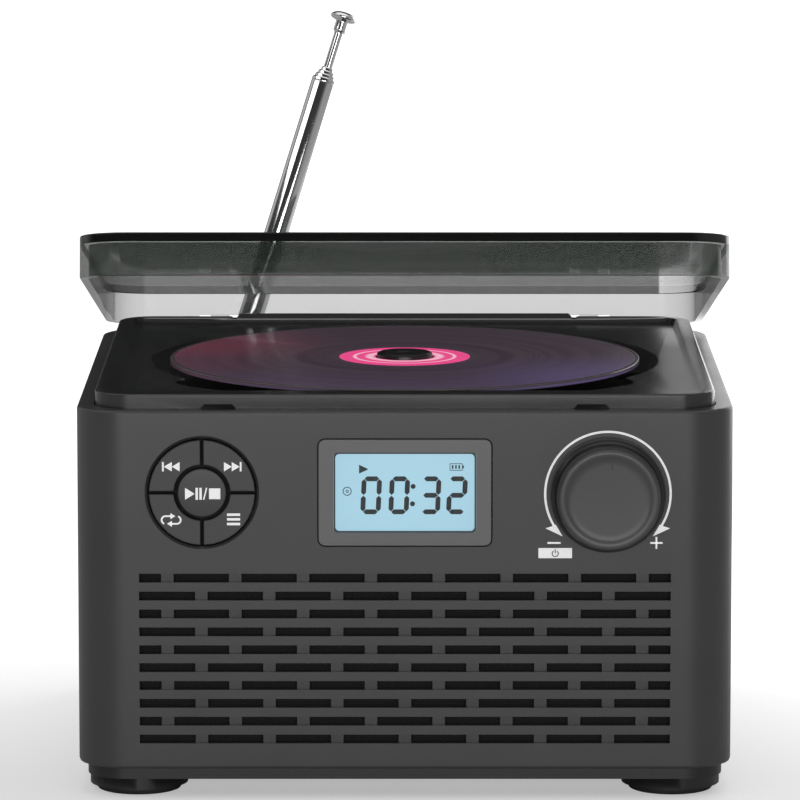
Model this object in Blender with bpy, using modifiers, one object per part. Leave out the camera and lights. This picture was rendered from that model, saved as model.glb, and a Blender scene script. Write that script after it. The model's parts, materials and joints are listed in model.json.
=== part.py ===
"""Portable CD player: a box with two speakers, a smoked lid over the disc and a telescopic antenna.

Metres, +Z up, front towards -Y. Every piece is placed under one empty, which centres the
whole object over the origin, so inside the script Y counts from the front face.
"""

import math

import bmesh
import bpy
from mathutils import Matrix, Vector

# Clearances
GAP = 0.0003  # between neighbouring pieces
PAST = 0.002  # how far a cutter runs past what it cuts

# Casing
WIDTH = 0.161
DEPTH = 0.154
CORNER = 0.012
WALL = 0.0025
SHELL_LOW = 0.0074
SHELL_TOP = 0.0962
SHELL_RIM = 0.0008

# Raised deck on top of the casing, with its sunk floor, disc well and finger scoop
DECK_HALF = 0.0761
DECK_FRONT = 0.0040
DECK_BACK = 0.1512
DECK_TOP = 0.0998
DECK_CORNER = 0.009
DECK_LOW = 0.0912
FLANGE_TOP = 0.0934
FLOOR_TOP = 0.0984
FLOOR_HALF = 0.0727
FLOOR_FRONT = 0.0104
FLOOR_BACK = 0.1475
FLOOR_SLOPE = 0.0013
SKIN = 0.002
DISC_Y = 0.0765
WELL_RADIUS = 0.065
WELL_TAPER = 0.0022
WELL_FLOOR = 0.0941
WELL_SKIN = 0.0015
SCOOP_DEPTH = 0.0075
SCOOP_FRONT = 0.0110
SCOOP_HALF_ANGLE = 58.5
SCOOP_ROUNDING = 6.0
SCOOP_STEPS = 32
CHORD = math.sqrt((WELL_RADIUS + SCOOP_DEPTH) ** 2 - (DISC_Y - SCOOP_FRONT) ** 2)
HINGE_BAR_HALF = 0.0448
HINGE_BAR_RISE = 0.0008
HINGE_BAR_FRONT = 0.1486
DRIVE_HOLE = 0.0175
NOTCH_X = 0.0456
NOTCH_HALF = 0.0043

# Lid and its hinge
HINGE_Y = 0.1537
HINGE_Z = 0.0968
LID_OPEN = math.radians(12)
LID_WIDTH = 0.1595
LID_LOW = 0.0972
LID_TOP = 0.1077
LID_PLATE = 0.0023
LID_WALL = 0.0022
EAR_X = 0.0495
EAR_HALF = 0.0025
KNUCKLE_RADIUS = 0.0023
KNUCKLE_WIDTH = 0.0025
PIN_RADIUS = 0.0009

# Disc and its drive
DISC_RADIUS = 0.060
DISC_HOLE = 0.0075
DISC_TOP = 0.0991
DISC_THICK = 0.0012
HUB_TOP = 0.1004
CHASSIS_X = (-0.040, 0.0762)
CHASSIS_Y = (0.047, 0.104)
CHASSIS_TOP = 0.082
SPINDLE_MOTOR_RADIUS = 0.0108
SLED_MOTOR_RADIUS = 0.0080
MOTOR_SHAFT = 0.0010
HUB_RADIUS = 0.0072
HUB_FLANGE = 0.0150
ROD_OFFSET = 0.0115
ROD_Z = 0.088
ROD_THICK = 0.0015
ROD_SEAT = 0.0018
ROD_SPAN = (0.0130, 0.0765)
LENS_X = 0.026
LENS_RADIUS = 0.0034
SLED_X = (0.019, 0.039)
SLED_TRAVEL = 0.033
TOOTH_MODULE = 0.0008
PINION_TEETH = 12
PINION_X = 0.0255
RACK_PITCH_Y = 0.0580
RACK_TEETH = 17
RACK_REACH = 15.5

# Main circuit board
BOARD_HALF = 0.050
BOARD_Y = (0.056, 0.126)
BOARD_TOP = 0.0376

# Front panel
PANEL_Z = 0.0761
BEZEL = (0.0422, 0.0262)
WINDOW = (0.0348, 0.01985)
KEYS_X = -0.0495
KEY_OUTER = 0.01295
KEY_INNER = 0.0069
KEY_CENTRE = 0.0059
KEY_GAP = 0.00075
KEY_WELL = 0.0134
KEY_CHAMFER = 0.0006
KEY_FACE = -0.0003
KEY_BACK = 0.0026
KEY_REACH = 0.0097
KNOB_X = 0.0495
KNOB_Z = 0.0758
KNOB_RADIUS = 0.014
KNOB_FRONT = -0.0103
KNOB_MARK_X = 0.0502
KNOB_MARK_Z = (0.0838, 0.0863)
SHAFT_RADIUS = 0.0030
POT_HALF = 0.008
LCD_HALF = (0.0190, 0.0118)

# Grille and speakers
SLOT_ROWS = 10
SLOT_TOP_Z = 0.05495
SLOT_PITCH = 0.00445
SLOT_HEIGHT = 0.0022
SLOT_HALF = 0.0650
POST_WIDTH = 0.00306
POST_PITCH = 0.0166
POST_SINK = 0.0010
SPEAKER_X = 0.038
SPEAKER_Z = 0.034
SPEAKER_RADIUS = 0.026
MAGNET_RADIUS = 0.0140
CLOTH_HALF = 0.0665
CLOTH_Z = (0.0115, 0.0575)

# Rear cover with its screws, vents and sockets
REAR_HALF = 0.061
REAR_LOW = 0.0135
REAR_HIGH = 0.0885
REAR_THICK = 0.0022
REAR_SINK = 0.0001
REAR_CORNER = 0.003
REAR_SCREWS = ((-0.0565, 0.018), (0.0565, 0.018), (-0.0565, 0.084), (0.0565, 0.084))
SCREW_HEAD = 0.0024
SCREW_SHANK = 0.0012
SCREW_LENGTH = 0.009
VENT_ROWS = 5
VENT_HALF = 0.022
VENT_LOW_Z = 0.050
VENT_PITCH = 0.004
VENT_HEIGHT = 0.0016
PORT_X = 0.022
JACK_X = 0.038
PORTS_Z = 0.028
PORT_SIZE = (0.0092, 0.0034)
PORT_WALL = 0.0003
JACK_RADIUS = 0.0038
JACK_BORE = 0.00178
JACK_DEPTH = 0.009

# Base and feet
PLINTH_INSET = 0.0022
PLINTH_LOW = 0.00445
LIP_THICK = 0.0016
LIP_RISE = 0.0035
FOOT_RADIUS = 0.0125
FOOT_LOW = 0.0015
PAD_RADIUS = 0.0104
BATTERY_HALF = 0.034
BATTERY_Y = (0.096, 0.132)
BATTERY_TOP = 0.026

# Antenna, which leans to the right and a little back
PIVOT = (-0.0475, 0.163, 0.079)
LEAN = math.radians(17.5)
TILT = math.radians(12)
TUBE_RADII = ((0.00335, 0.00305), (0.00285, 0.0025), (0.0023, 0.00195), (0.00175, 0.00145))
TUBE_TOP = 0.0879
TUBE_STEP = 0.0010
ROD_RADIUS = 0.00125
ROD_TOP = 0.1044
TIP_RADIUS = 0.0036
TIP_HEIGHT = 0.0024
TIP_BULGE = 0.0009
ROD_LOW = 0.0225
TUBE_LOWS = (0.0075, 0.0145, 0.0160, 0.0175)
TURRET_RADIUS = 0.0060
TURRET_NECK = 0.0034
CHEEK_X = 0.0031
CHEEK_RADIUS = 0.0034
TILT_PIN = 0.0010

FINISHES = {
    "body_plastic": ((0.075, 0.075, 0.075), 0.45, 0.0),
    "deck_plastic": ((0.035, 0.036, 0.035), 0.22, 0.0),
    "black_plastic": ((0.02, 0.02, 0.02), 0.5, 0.0),
    "smoked_lid": ((0.10, 0.11, 0.10), 0.06, 0.0),
    "bezel_grey": ((0.13, 0.13, 0.13), 0.35, 0.0),
    "window_clear": ((0.85, 0.93, 0.96), 0.05, 0.0),
    "display_blue": ((0.42, 0.68, 0.80), 0.4, 0.0),
    "white_plastic": ((0.8, 0.8, 0.78), 0.4, 0.0),
    "knob_plastic": ((0.06, 0.06, 0.06), 0.35, 0.0),
    "rubber": ((0.012, 0.012, 0.012), 0.85, 0.0),
    "cloth": ((0.01, 0.01, 0.01), 0.9, 0.0),
    "paper_cone": ((0.03, 0.03, 0.03), 0.8, 0.0),
    "steel": ((0.55, 0.55, 0.56), 0.3, 1.0),
    "chrome": ((0.75, 0.75, 0.76), 0.08, 1.0),
    "board_green": ((0.02, 0.12, 0.06), 0.5, 0.0),
    "disc_foil": ((0.12, 0.07, 0.10), 0.12, 0.8),
    "lens_glass": ((0.25, 0.15, 0.45), 0.03, 0.0),
    "battery_wrap": ((0.03, 0.10, 0.30), 0.4, 0.0),
    "brass": ((0.70, 0.50, 0.20), 0.35, 1.0),
}


def antenna_back():
    """How far back the tip of the leaning antenna reaches, counted from the front face."""
    return PIVOT[1] + (ROD_TOP + TIP_BULGE) * math.sin(TILT) + TIP_RADIUS * math.cos(TILT)


def new_collection(name, hidden):
    found = bpy.data.collections.new(name)
    found.hide_render = hidden
    bpy.context.scene.collection.children.link(found)
    return found


def empty(name, parent=None, place=(0, 0, 0), turn=(0, 0, 0)):
    obj = bpy.data.objects.new(name, None)
    obj.empty_display_size = 0.01
    PARTS.objects.link(obj)
    obj.parent = parent
    obj.location = place
    obj.rotation_euler = turn
    return obj


def material(name):
    if name in bpy.data.materials:
        return bpy.data.materials[name]
    colour, roughness, metallic = FINISHES[name]
    made = bpy.data.materials.new(name)
    made.use_nodes = True
    shader = made.node_tree.nodes["Principled BSDF"]
    shader.inputs["Base Color"].default_value = (*colour, 1)
    shader.inputs["Roughness"].default_value = roughness
    shader.inputs["Metallic"].default_value = metallic
    return made


def finish(name, mesh, look, parent, place=(0, 0, 0), turn=(0, 0, 0)):
    """Links the mesh as a part with its material, or as a hidden helper where look is None."""
    obj = bpy.data.objects.new(name, mesh)
    obj.parent = parent or ROOT
    obj.location = place
    obj.rotation_euler = turn
    if look is None:
        HELPERS.objects.link(obj)
        obj.hide_render = True
        obj.display_type = "WIRE"
        return obj
    PARTS.objects.link(obj)
    mesh.materials.append(material(look))
    if mesh.polygons:
        mesh.shade_smooth()
        mesh.set_sharp_from_angle(angle=math.radians(35))
    return obj


def mesh_from(name, bm):
    bmesh.ops.recalc_face_normals(bm, faces=bm.faces)
    if bm.calc_volume(signed=True) < 0:
        bmesh.ops.reverse_faces(bm, faces=bm.faces)
    mesh = bpy.data.meshes.new(name)
    bm.to_mesh(mesh)
    bm.free()
    return mesh


def block(name, x, y, z, look=None, parent=None, corner=0.0, rim=0.0, axis=2, segments=6, taper=0.0):
    """Box over three ranges. corner rounds the edges along axis, rim those across it.

    taper pulls the low end in along X, for a wall that slopes.
    """
    bm = bmesh.new()
    bmesh.ops.create_cube(bm, size=1)
    ranges = (x, y, z)
    size = [high - low for low, high in ranges]
    middle = [(low + high) / 2 for low, high in ranges]
    bmesh.ops.scale(bm, vec=size, verts=bm.verts)
    if corner:
        along = [e for e in bm.edges if abs(e.verts[0].co[axis] - e.verts[1].co[axis]) > size[axis] / 2]
        bmesh.ops.bevel(bm, geom=along, offset=corner, segments=segments, profile=0.5, affect="EDGES")
    if rim:
        bm.normal_update()
        ends = [f for f in bm.faces if abs(f.normal[axis]) > 0.9]
        edges = list({e for f in ends for e in f.edges})
        bmesh.ops.bevel(bm, geom=edges, offset=rim, segments=2, profile=0.5, affect="EDGES")
    for v in bm.verts:
        if taper and v.co.z < 0:
            v.co.x -= math.copysign(taper, v.co.x)
    bmesh.ops.translate(bm, vec=middle, verts=bm.verts)
    return finish(name, mesh_from(name, bm), look, parent)


def blocks(name, boxes, parent=None):
    """Hidden cutter made of several separate boxes, each given by its three ranges."""
    bm = bmesh.new()
    for ranges in boxes:
        made = bmesh.ops.create_cube(bm, size=1)["verts"]
        bmesh.ops.scale(bm, vec=[high - low for low, high in ranges], verts=made)
        bmesh.ops.translate(bm, vec=[(low + high) / 2 for low, high in ranges], verts=made)
    return finish(name, mesh_from(name, bm), None, parent)


def bar(name, start, end, radius, look=None, parent=None, sides=24, end_radius=None):
    """Round bar, or a cone where end_radius differs, from start to end."""
    start, end = Vector(start), Vector(end)
    along = end - start
    bm = bmesh.new()
    bmesh.ops.create_cone(
        bm,
        cap_ends=True,
        segments=sides,
        radius1=radius,
        radius2=radius if end_radius is None else end_radius,
        depth=along.length,
    )
    turn = along.to_track_quat("Z", "Y").to_matrix().to_4x4()
    bmesh.ops.transform(bm, matrix=Matrix.Translation((start + end) / 2) @ turn, verts=bm.verts)
    return finish(name, mesh_from(name, bm), look, parent)


def turned(name, profile, look=None, parent=None, place=(0, 0, 0), facing_front=False, closed=False, sides=32):
    """Turned piece: (radius, height) points that run down the outer side.

    facing_front turns its axis so that its top looks out of the front, towards -Y.
    """
    mesh = bpy.data.meshes.new(name)
    count = len(profile)
    edges = [(i, i + 1) for i in range(count - 1)]
    if closed:
        edges.append((count - 1, 0))
    mesh.from_pydata([(r, 0, h) for r, h in profile], edges, [])
    turn = (math.radians(90), 0, 0) if facing_front else (0, 0, 0)
    obj = finish(name, mesh, look, parent, place, turn)
    screw = obj.modifiers.new("turn", "SCREW")
    screw.steps = screw.render_steps = sides
    screw.use_merge_vertices = True
    screw.merge_threshold = 0.00001
    screw.use_smooth_shade = True
    return obj


def plate(name, loops, low, high, look=None, parent=None, across="Z"):
    """Flat piece from an outline and its holes, from low to high on the axis across it.

    The loops hold (x, y) points across Z, (x, z) points across Y and (y, z) points across X.
    """
    curve = bpy.data.curves.new(name, "CURVE")
    curve.dimensions = "2D"
    curve.fill_mode = "BOTH"
    curve.extrude = (high - low) / 2
    for loop in loops:
        spline = curve.splines.new("POLY")
        spline.points.add(len(loop) - 1)
        spline.use_cyclic_u = True
        for point, (u, v) in zip(spline.points, loop):
            point.co = (u, v, 0, 1)
    holder = bpy.data.objects.new(name, curve)
    PARTS.objects.link(holder)
    mesh = bpy.data.meshes.new_from_object(holder.evaluated_get(bpy.context.evaluated_depsgraph_get()))
    bpy.data.objects.remove(holder)
    bpy.data.curves.remove(curve)
    bm = bmesh.new()
    bm.from_mesh(mesh)
    bpy.data.meshes.remove(mesh)
    bmesh.ops.remove_doubles(bm, verts=bm.verts, dist=1e-6)
    bmesh.ops.translate(bm, vec=(0, 0, (low + high) / 2), verts=bm.verts)
    for v in bm.verts:
        x, y, z = v.co
        if across == "Y":
            v.co = (x, z, y)
        if across == "X":
            v.co = (z, x, y)
    return finish(name, mesh_from(name, bm), look, parent)


def combine(target, operation, pieces):
    for piece in pieces:
        step = target.modifiers.new(piece.name, "BOOLEAN")
        step.operation = operation
        step.solver = "EXACT"
        step.object = piece


def cut(target, *pieces):
    combine(target, "DIFFERENCE", pieces)


def join(target, *pieces):
    combine(target, "UNION", pieces)


def arc(centre, radius, start, end, steps):
    """Points on an arc, angles in degrees."""
    angles = [math.radians(start + (end - start) * i / steps) for i in range(steps + 1)]
    return [(centre[0] + radius * math.cos(a), centre[1] + radius * math.sin(a)) for a in angles]


def around(middle, half):
    return (middle - half, middle + half)


def smooth(t):
    t = min(max(t, 0.0), 1.0)
    return t * t * (3 - 2 * t)


def slot_boxes(y):
    """The grille's through slots: each row is broken by posts, offset by half a pitch in every second row."""
    boxes = []
    for row in range(SLOT_ROWS):
        z = around(SLOT_TOP_Z - row * SLOT_PITCH, SLOT_HEIGHT / 2)
        count = 8 - row % 2
        posts = [(i - (count - 1) / 2) * POST_PITCH for i in range(count)]
        lefts = [-SLOT_HALF] + [p + POST_WIDTH / 2 for p in posts]
        rights = [p - POST_WIDTH / 2 for p in posts] + [SLOT_HALF]
        boxes += [((a, b), y, z) for a, b in zip(lefts, rights)]
    return boxes


def trench_boxes(y):
    """One shallow trench over each grille row, which leaves the posts below the face."""
    half = SLOT_HALF - 0.0001
    return [
        (around(0, half), y, around(SLOT_TOP_Z - row * SLOT_PITCH, SLOT_HEIGHT / 2 - 0.00005))
        for row in range(SLOT_ROWS)
    ]


def make_shell():
    """Sleeve with rounded corners; the grille, the front openings and the hinge gaps are cut through it."""
    half = WIDTH / 2
    shell = block(
        "main_shell", around(0, half), (0, DEPTH), (SHELL_LOW, SHELL_TOP), "body_plastic",
        corner=CORNER, rim=SHELL_RIM, segments=7,
    )
    inside = block(
        "shell_inside", around(0, half - WALL), (WALL, DEPTH - WALL), (SHELL_LOW - PAST, SHELL_TOP - WALL),
        corner=CORNER - WALL, segments=5,
    )
    top_opening = block(
        "shell_top_opening", around(0, DECK_HALF + GAP), (DECK_FRONT - GAP, DECK_BACK + GAP),
        (SHELL_TOP - 2 * WALL, SHELL_TOP + PAST), corner=DECK_CORNER, segments=6,
    )
    rear_opening = block(
        "shell_rear_opening", around(0, REAR_HALF + GAP), (DEPTH - 2 * WALL, DEPTH + PAST),
        (REAR_LOW - GAP, REAR_HIGH + GAP), corner=0.003, axis=1, segments=4,
    )
    through = (-PAST, WALL + PAST)
    slots = blocks("grille_slots", slot_boxes(through))
    trenches = blocks("grille_trenches", trench_boxes((-PAST, POST_SINK)))
    hinge_gaps = blocks(
        "shell_hinge_gaps",
        [
            (around(side * EAR_X, EAR_HALF + KNUCKLE_WIDTH + 2 * GAP), (DECK_BACK - PAST, DEPTH + PAST),
             (HINGE_Z - KNUCKLE_RADIUS - GAP, SHELL_TOP + PAST))
            for side in (-1, 1)
        ],
    )
    bezel_hole = block(
        "bezel_hole", around(0, BEZEL[0] / 2 + GAP), through, around(PANEL_Z, BEZEL[1] / 2 + GAP),
        corner=0.0019, axis=1, segments=4,
    )
    mouth = KEY_WELL + KEY_CHAMFER + PAST
    key_hole = turned(
        "key_hole",
        [(0, PAST), (mouth, PAST), (KEY_WELL, -KEY_CHAMFER), (KEY_WELL, -WALL - PAST), (0, -WALL - PAST)],
        place=(KEYS_X, 0, PANEL_Z), facing_front=True, sides=48,
    )
    shaft_hole = bar("shaft_hole", (KNOB_X, -PAST, KNOB_Z), (KNOB_X, WALL + PAST, KNOB_Z), SHAFT_RADIUS + 0.0008)
    cut(shell, inside, top_opening, rear_opening, slots, trenches, hinge_gaps)
    cut(shell, bezel_hole, key_hole, shaft_hole)


def scoop_outline():
    """Finger scoop: the well's rim steps out in front, and stops at the front of the sunk floor."""
    outer, corners = [], []
    for i in range(SCOOP_STEPS + 1):
        offset = SCOOP_HALF_ANGLE * (2 * i / SCOOP_STEPS - 1)
        step = smooth((SCOOP_HALF_ANGLE - abs(offset)) / SCOOP_ROUNDING)
        radius = WELL_RADIUS - 0.0005 + (SCOOP_DEPTH + 0.0005) * step
        angle = math.radians(offset - 90)
        point = (radius * math.cos(angle), DISC_Y + radius * math.sin(angle))
        if point[1] > SCOOP_FRONT:
            outer.append(point)
        elif point[0] < 0 and not corners:
            corners = [(-CHORD, SCOOP_FRONT), (CHORD, SCOOP_FRONT)]
            outer += corners
    inner = arc((0, DISC_Y), WELL_RADIUS - 0.010, SCOOP_HALF_ANGLE - 90, -SCOOP_HALF_ANGLE - 90, 24)
    return outer + inner


def make_deck():
    """Raised plate with a sunk floor, the disc well and scoop, the hinge bar and the fixed hinge knuckles."""
    deck = block(
        "top_deck", around(0, DECK_HALF), (DECK_FRONT, DECK_BACK), (DECK_LOW, DECK_TOP), "deck_plastic",
        corner=DECK_CORNER, rim=0.0005, segments=6,
    )
    flange = block(
        "deck_flange", around(0, WIDTH / 2 - WALL - GAP), (WALL + GAP, DECK_BACK), (DECK_LOW + 0.0007, FLANGE_TOP),
        corner=CORNER - WALL, segments=5,
    )
    sunk_floor = block(
        "deck_floor", around(0, FLOOR_HALF), (FLOOR_FRONT, FLOOR_BACK), (FLOOR_TOP, DECK_TOP + GAP),
        corner=0.003, segments=4, taper=FLOOR_SLOPE,
    )
    well = bar(
        "deck_well", (0, DISC_Y, WELL_FLOOR), (0, DISC_Y, FLOOR_TOP + PAST), WELL_RADIUS - WELL_TAPER, sides=72,
        end_radius=WELL_RADIUS + WELL_TAPER * PAST / (FLOOR_TOP - WELL_FLOOR),
    )
    scoop = plate("deck_scoop", [scoop_outline()], WELL_FLOOR + 0.0004, FLOOR_TOP + PAST)
    underside = block(
        "deck_underside", around(0, DECK_HALF - SKIN), (DECK_FRONT + SKIN, DECK_BACK - SKIN),
        (DECK_LOW - PAST, FLOOR_TOP - SKIN), corner=DECK_CORNER - SKIN, segments=4,
    )
    cup = bar(
        "deck_cup", (0, DISC_Y, DECK_LOW - 2 * PAST), (0, DISC_Y, FLOOR_TOP), WELL_RADIUS + WELL_SKIN, sides=60,
    )
    reach = WELL_RADIUS + SCOOP_DEPTH + WELL_SKIN
    outline = arc((0, DISC_Y), reach, -SCOOP_HALF_ANGLE - 92, SCOOP_HALF_ANGLE - 88, 20)
    outline += arc((0, DISC_Y), WELL_RADIUS - 0.004, SCOOP_HALF_ANGLE - 88, -SCOOP_HALF_ANGLE - 92, 16)
    scoop_cup = plate("deck_scoop_cup", [outline], DECK_LOW - 2 * PAST, FLOOR_TOP)
    cut(underside, cup, scoop_cup)
    below_well = bar(
        "deck_below_well", (0, DISC_Y, DECK_LOW - PAST), (0, DISC_Y, WELL_FLOOR - WELL_SKIN),
        WELL_RADIUS - WELL_SKIN, sides=60,
    )
    drive_hole = bar("deck_drive_hole", (0, DISC_Y, DECK_LOW), (0, DISC_Y, WELL_FLOOR + PAST), DRIVE_HOLE, sides=36)
    slot_end = LENS_X + SLED_TRAVEL + LENS_RADIUS + GAP
    lens_slot = block("deck_lens_slot", (0, slot_end), around(DISC_Y, 0.006), (DECK_LOW, WELL_FLOOR + PAST))
    bar_top = DECK_TOP + HINGE_BAR_RISE
    hinge_bar = plate(
        "deck_hinge_bar",
        [[(-HINGE_BAR_HALF, DECK_TOP - 0.001), (HINGE_BAR_HALF, DECK_TOP - 0.001),
          (HINGE_BAR_HALF, DECK_TOP), (HINGE_BAR_HALF - HINGE_BAR_RISE, bar_top),
          (HINGE_BAR_RISE - HINGE_BAR_HALF, bar_top), (-HINGE_BAR_HALF, DECK_TOP)]],
        HINGE_BAR_FRONT, DECK_BACK - 0.0006, across="Y",
    )
    gaps = blocks(
        "deck_bar_gaps",
        [(around(side * (HINGE_BAR_HALF + 0.00065), 0.00065), (FLOOR_BACK - PAST, DECK_BACK + PAST),
          (DECK_TOP - 0.0004, DECK_TOP + PAST)) for side in (-1, 1)],
    )
    notches = plate(
        "latch_notches",
        [[(x - NOTCH_HALF, SHELL_TOP - 0.0008), (x + NOTCH_HALF, SHELL_TOP - 0.0008),
          (x + NOTCH_HALF, SHELL_TOP + 0.0002), (x + NOTCH_HALF - 0.0009, SHELL_TOP + 0.0011),
          (x - NOTCH_HALF + 0.0009, SHELL_TOP + 0.0011), (x - NOTCH_HALF, SHELL_TOP + 0.0002)]
         for x in (-NOTCH_X, NOTCH_X)],
        DECK_FRONT - PAST, DECK_FRONT + 0.0018, across="Y",
    )
    join(deck, flange)
    cut(deck, sunk_floor, underside, below_well, well, scoop, drive_hole, lens_slot, notches)
    join(deck, hinge_bar)
    cut(deck, gaps)
    for side in (-1, 1):
        for edge in (-1, 1):
            x = around(side * EAR_X + edge * (EAR_HALF + GAP + KNUCKLE_WIDTH / 2), KNUCKLE_WIDTH / 2)
            outline = arc((HINGE_Y, HINGE_Z), KNUCKLE_RADIUS, -90, 90, 8)
            root = DECK_BACK - 0.0015
            outline += [(root, HINGE_Z + KNUCKLE_RADIUS), (root, HINGE_Z - KNUCKLE_RADIUS)]
            join(deck, plate("deck_knuckle", [outline], *x, across="X"))
        ends = around(side * EAR_X, 0.008)
        hole = bar(
            "deck_pin_hole", (ends[0], HINGE_Y, HINGE_Z), (ends[1], HINGE_Y, HINGE_Z), PIN_RADIUS + GAP, sides=16,
        )
        cut(deck, hole)


def make_lid():
    """Smoked cover in one piece, built round its hinge axis and turned open about it."""
    axis = empty("lid_axis", ROOT, (0, HINGE_Y, HINGE_Z), (-LID_OPEN, 0, 0))
    half = LID_WIDTH / 2
    low, high = LID_LOW - HINGE_Z, LID_TOP - HINGE_Z
    front, back = -HINGE_Y, DEPTH - HINGE_Y
    lid = block(
        "lid", around(0, half), (front, back), (low, high), "smoked_lid", axis,
        corner=CORNER, rim=0.0004, segments=7,
    )
    inside = block(
        "lid_inside", around(0, half - LID_WALL), (front + LID_WALL, back - LID_WALL),
        (low - PAST, high - LID_PLATE), None, axis, corner=CORNER - LID_WALL, segments=6,
    )
    clearances = blocks(
        "lid_clearances",
        [(around(side * EAR_X, EAR_HALF + KNUCKLE_WIDTH + 2 * GAP), (back - LID_WALL - PAST, back + PAST),
          (low - PAST, KNUCKLE_RADIUS + 2 * GAP)) for side in (-1, 1)],
        axis,
    )
    cut(lid, inside, clearances)
    for side in (-1, 1):
        x = around(side * EAR_X, EAR_HALF)
        top = KNUCKLE_RADIUS + 2 * GAP + 0.001
        outline = [(back - LID_WALL + 0.0001, top)] + arc((0, 0), KNUCKLE_RADIUS, 145, 360, 16)
        outline += [(back - 0.0001, 0.0014), (back - 0.0001, top)]
        ear = plate("lid_ear", [outline], *x, None, axis, "X")
        hole = bar("lid_pin_hole", (x[0] - PAST, 0, 0), (x[1] + PAST, 0, 0), PIN_RADIUS + GAP, None, axis, 16)
        join(lid, ear)
        cut(lid, hole)
    for side, word in ((-1, "left"), (1, "right")):
        ends = around(side * EAR_X, EAR_HALF + GAP + KNUCKLE_WIDTH)
        bar(
            f"hinge_pin_{word}", (ends[0], HINGE_Y, HINGE_Z), (ends[1], HINGE_Y, HINGE_Z), PIN_RADIUS, "steel",
            sides=16,
        )


def make_rear():
    """Rear cover with its four screws, the charging port, the headphone jack and the antenna's hole."""
    back = DEPTH - REAR_SINK
    inner = back - REAR_THICK
    through = (inner - PAST, back + PAST)
    panel = block(
        "rear_panel", around(0, REAR_HALF), (inner, back), (REAR_LOW, REAR_HIGH), "body_plastic",
        corner=REAR_CORNER, rim=0.0003, axis=1, segments=4,
    )
    vents = blocks(
        "rear_vents",
        [(around(0, VENT_HALF), through, around(VENT_LOW_Z + VENT_PITCH * row, VENT_HEIGHT / 2))
         for row in range(VENT_ROWS)],
    )
    port_hole = block(
        "port_hole", around(PORT_X, PORT_SIZE[0] / 2 + GAP), through,
        around(PORTS_Z, PORT_SIZE[1] / 2 + GAP), corner=0.0019, axis=1, segments=4,
    )
    jack_hole = bar("jack_hole", (JACK_X, through[0], PORTS_Z), (JACK_X, through[1], PORTS_Z), JACK_RADIUS + GAP)
    swivel_hole = bar(
        "swivel_hole", (PIVOT[0], through[0], PIVOT[2]), (PIVOT[0], through[1], PIVOT[2]), TURRET_NECK + 0.0004,
    )
    cut(panel, vents, port_hole, jack_hole, swivel_hole)
    for number, (x, z) in enumerate(REAR_SCREWS, 1):
        head_seat = bar("screw_seat", (x, back - 0.0011, z), (x, back + PAST, z), SCREW_HEAD + 0.0004, sides=16)
        shank_hole = bar("screw_hole", (x, inner - PAST, z), (x, back, z), SCREW_SHANK + 0.0004, sides=10)
        cut(panel, head_seat, shank_hole)
        screw = bar(
            f"rear_screw_{number}", (x, back - 0.0008, z), (x, back - 0.0001, z), SCREW_HEAD, "steel", sides=16,
        )
        shank = bar("screw_shank", (x, back - SCREW_LENGTH, z), (x, back - 0.0006, z), SCREW_SHANK, sides=10)
        slot_a = block("screw_slot", around(x, 0.0014), (back - 0.0005, back + PAST), around(z, 0.0003))
        slot_b = block("screw_cross", around(x, 0.0003), (back - 0.00045, back + PAST), around(z, 0.0014))
        join(screw, shank)
        cut(screw, slot_a, slot_b)
    port = block(
        "charge_port", around(PORT_X, PORT_SIZE[0] / 2), (inner - 0.005, back - 0.0002),
        around(PORTS_Z, PORT_SIZE[1] / 2), "steel", corner=0.0016, axis=1, segments=4,
    )
    port_mouth = block(
        "port_mouth", around(PORT_X, PORT_SIZE[0] / 2 - PORT_WALL), (inner - 0.004, back + PAST),
        around(PORTS_Z, PORT_SIZE[1] / 2 - PORT_WALL), corner=0.0013, axis=1, segments=4,
    )
    tongue = block("port_tongue", around(PORT_X, 0.0033), (inner - 0.0045, back - 0.001), around(PORTS_Z, 0.00035))
    cut(port, port_mouth)
    join(port, tongue)
    bottom = 0.001 - JACK_DEPTH
    jack = turned(
        "headphone_jack",
        [(0, bottom), (JACK_BORE, bottom), (JACK_BORE, 0), (JACK_RADIUS, 0), (JACK_RADIUS, -JACK_DEPTH),
         (0, -JACK_DEPTH)],
        "black_plastic", place=(JACK_X, back - 0.0003, PORTS_Z), sides=24,
    )
    jack.rotation_euler = (math.radians(-90), 0, 0)


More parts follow.
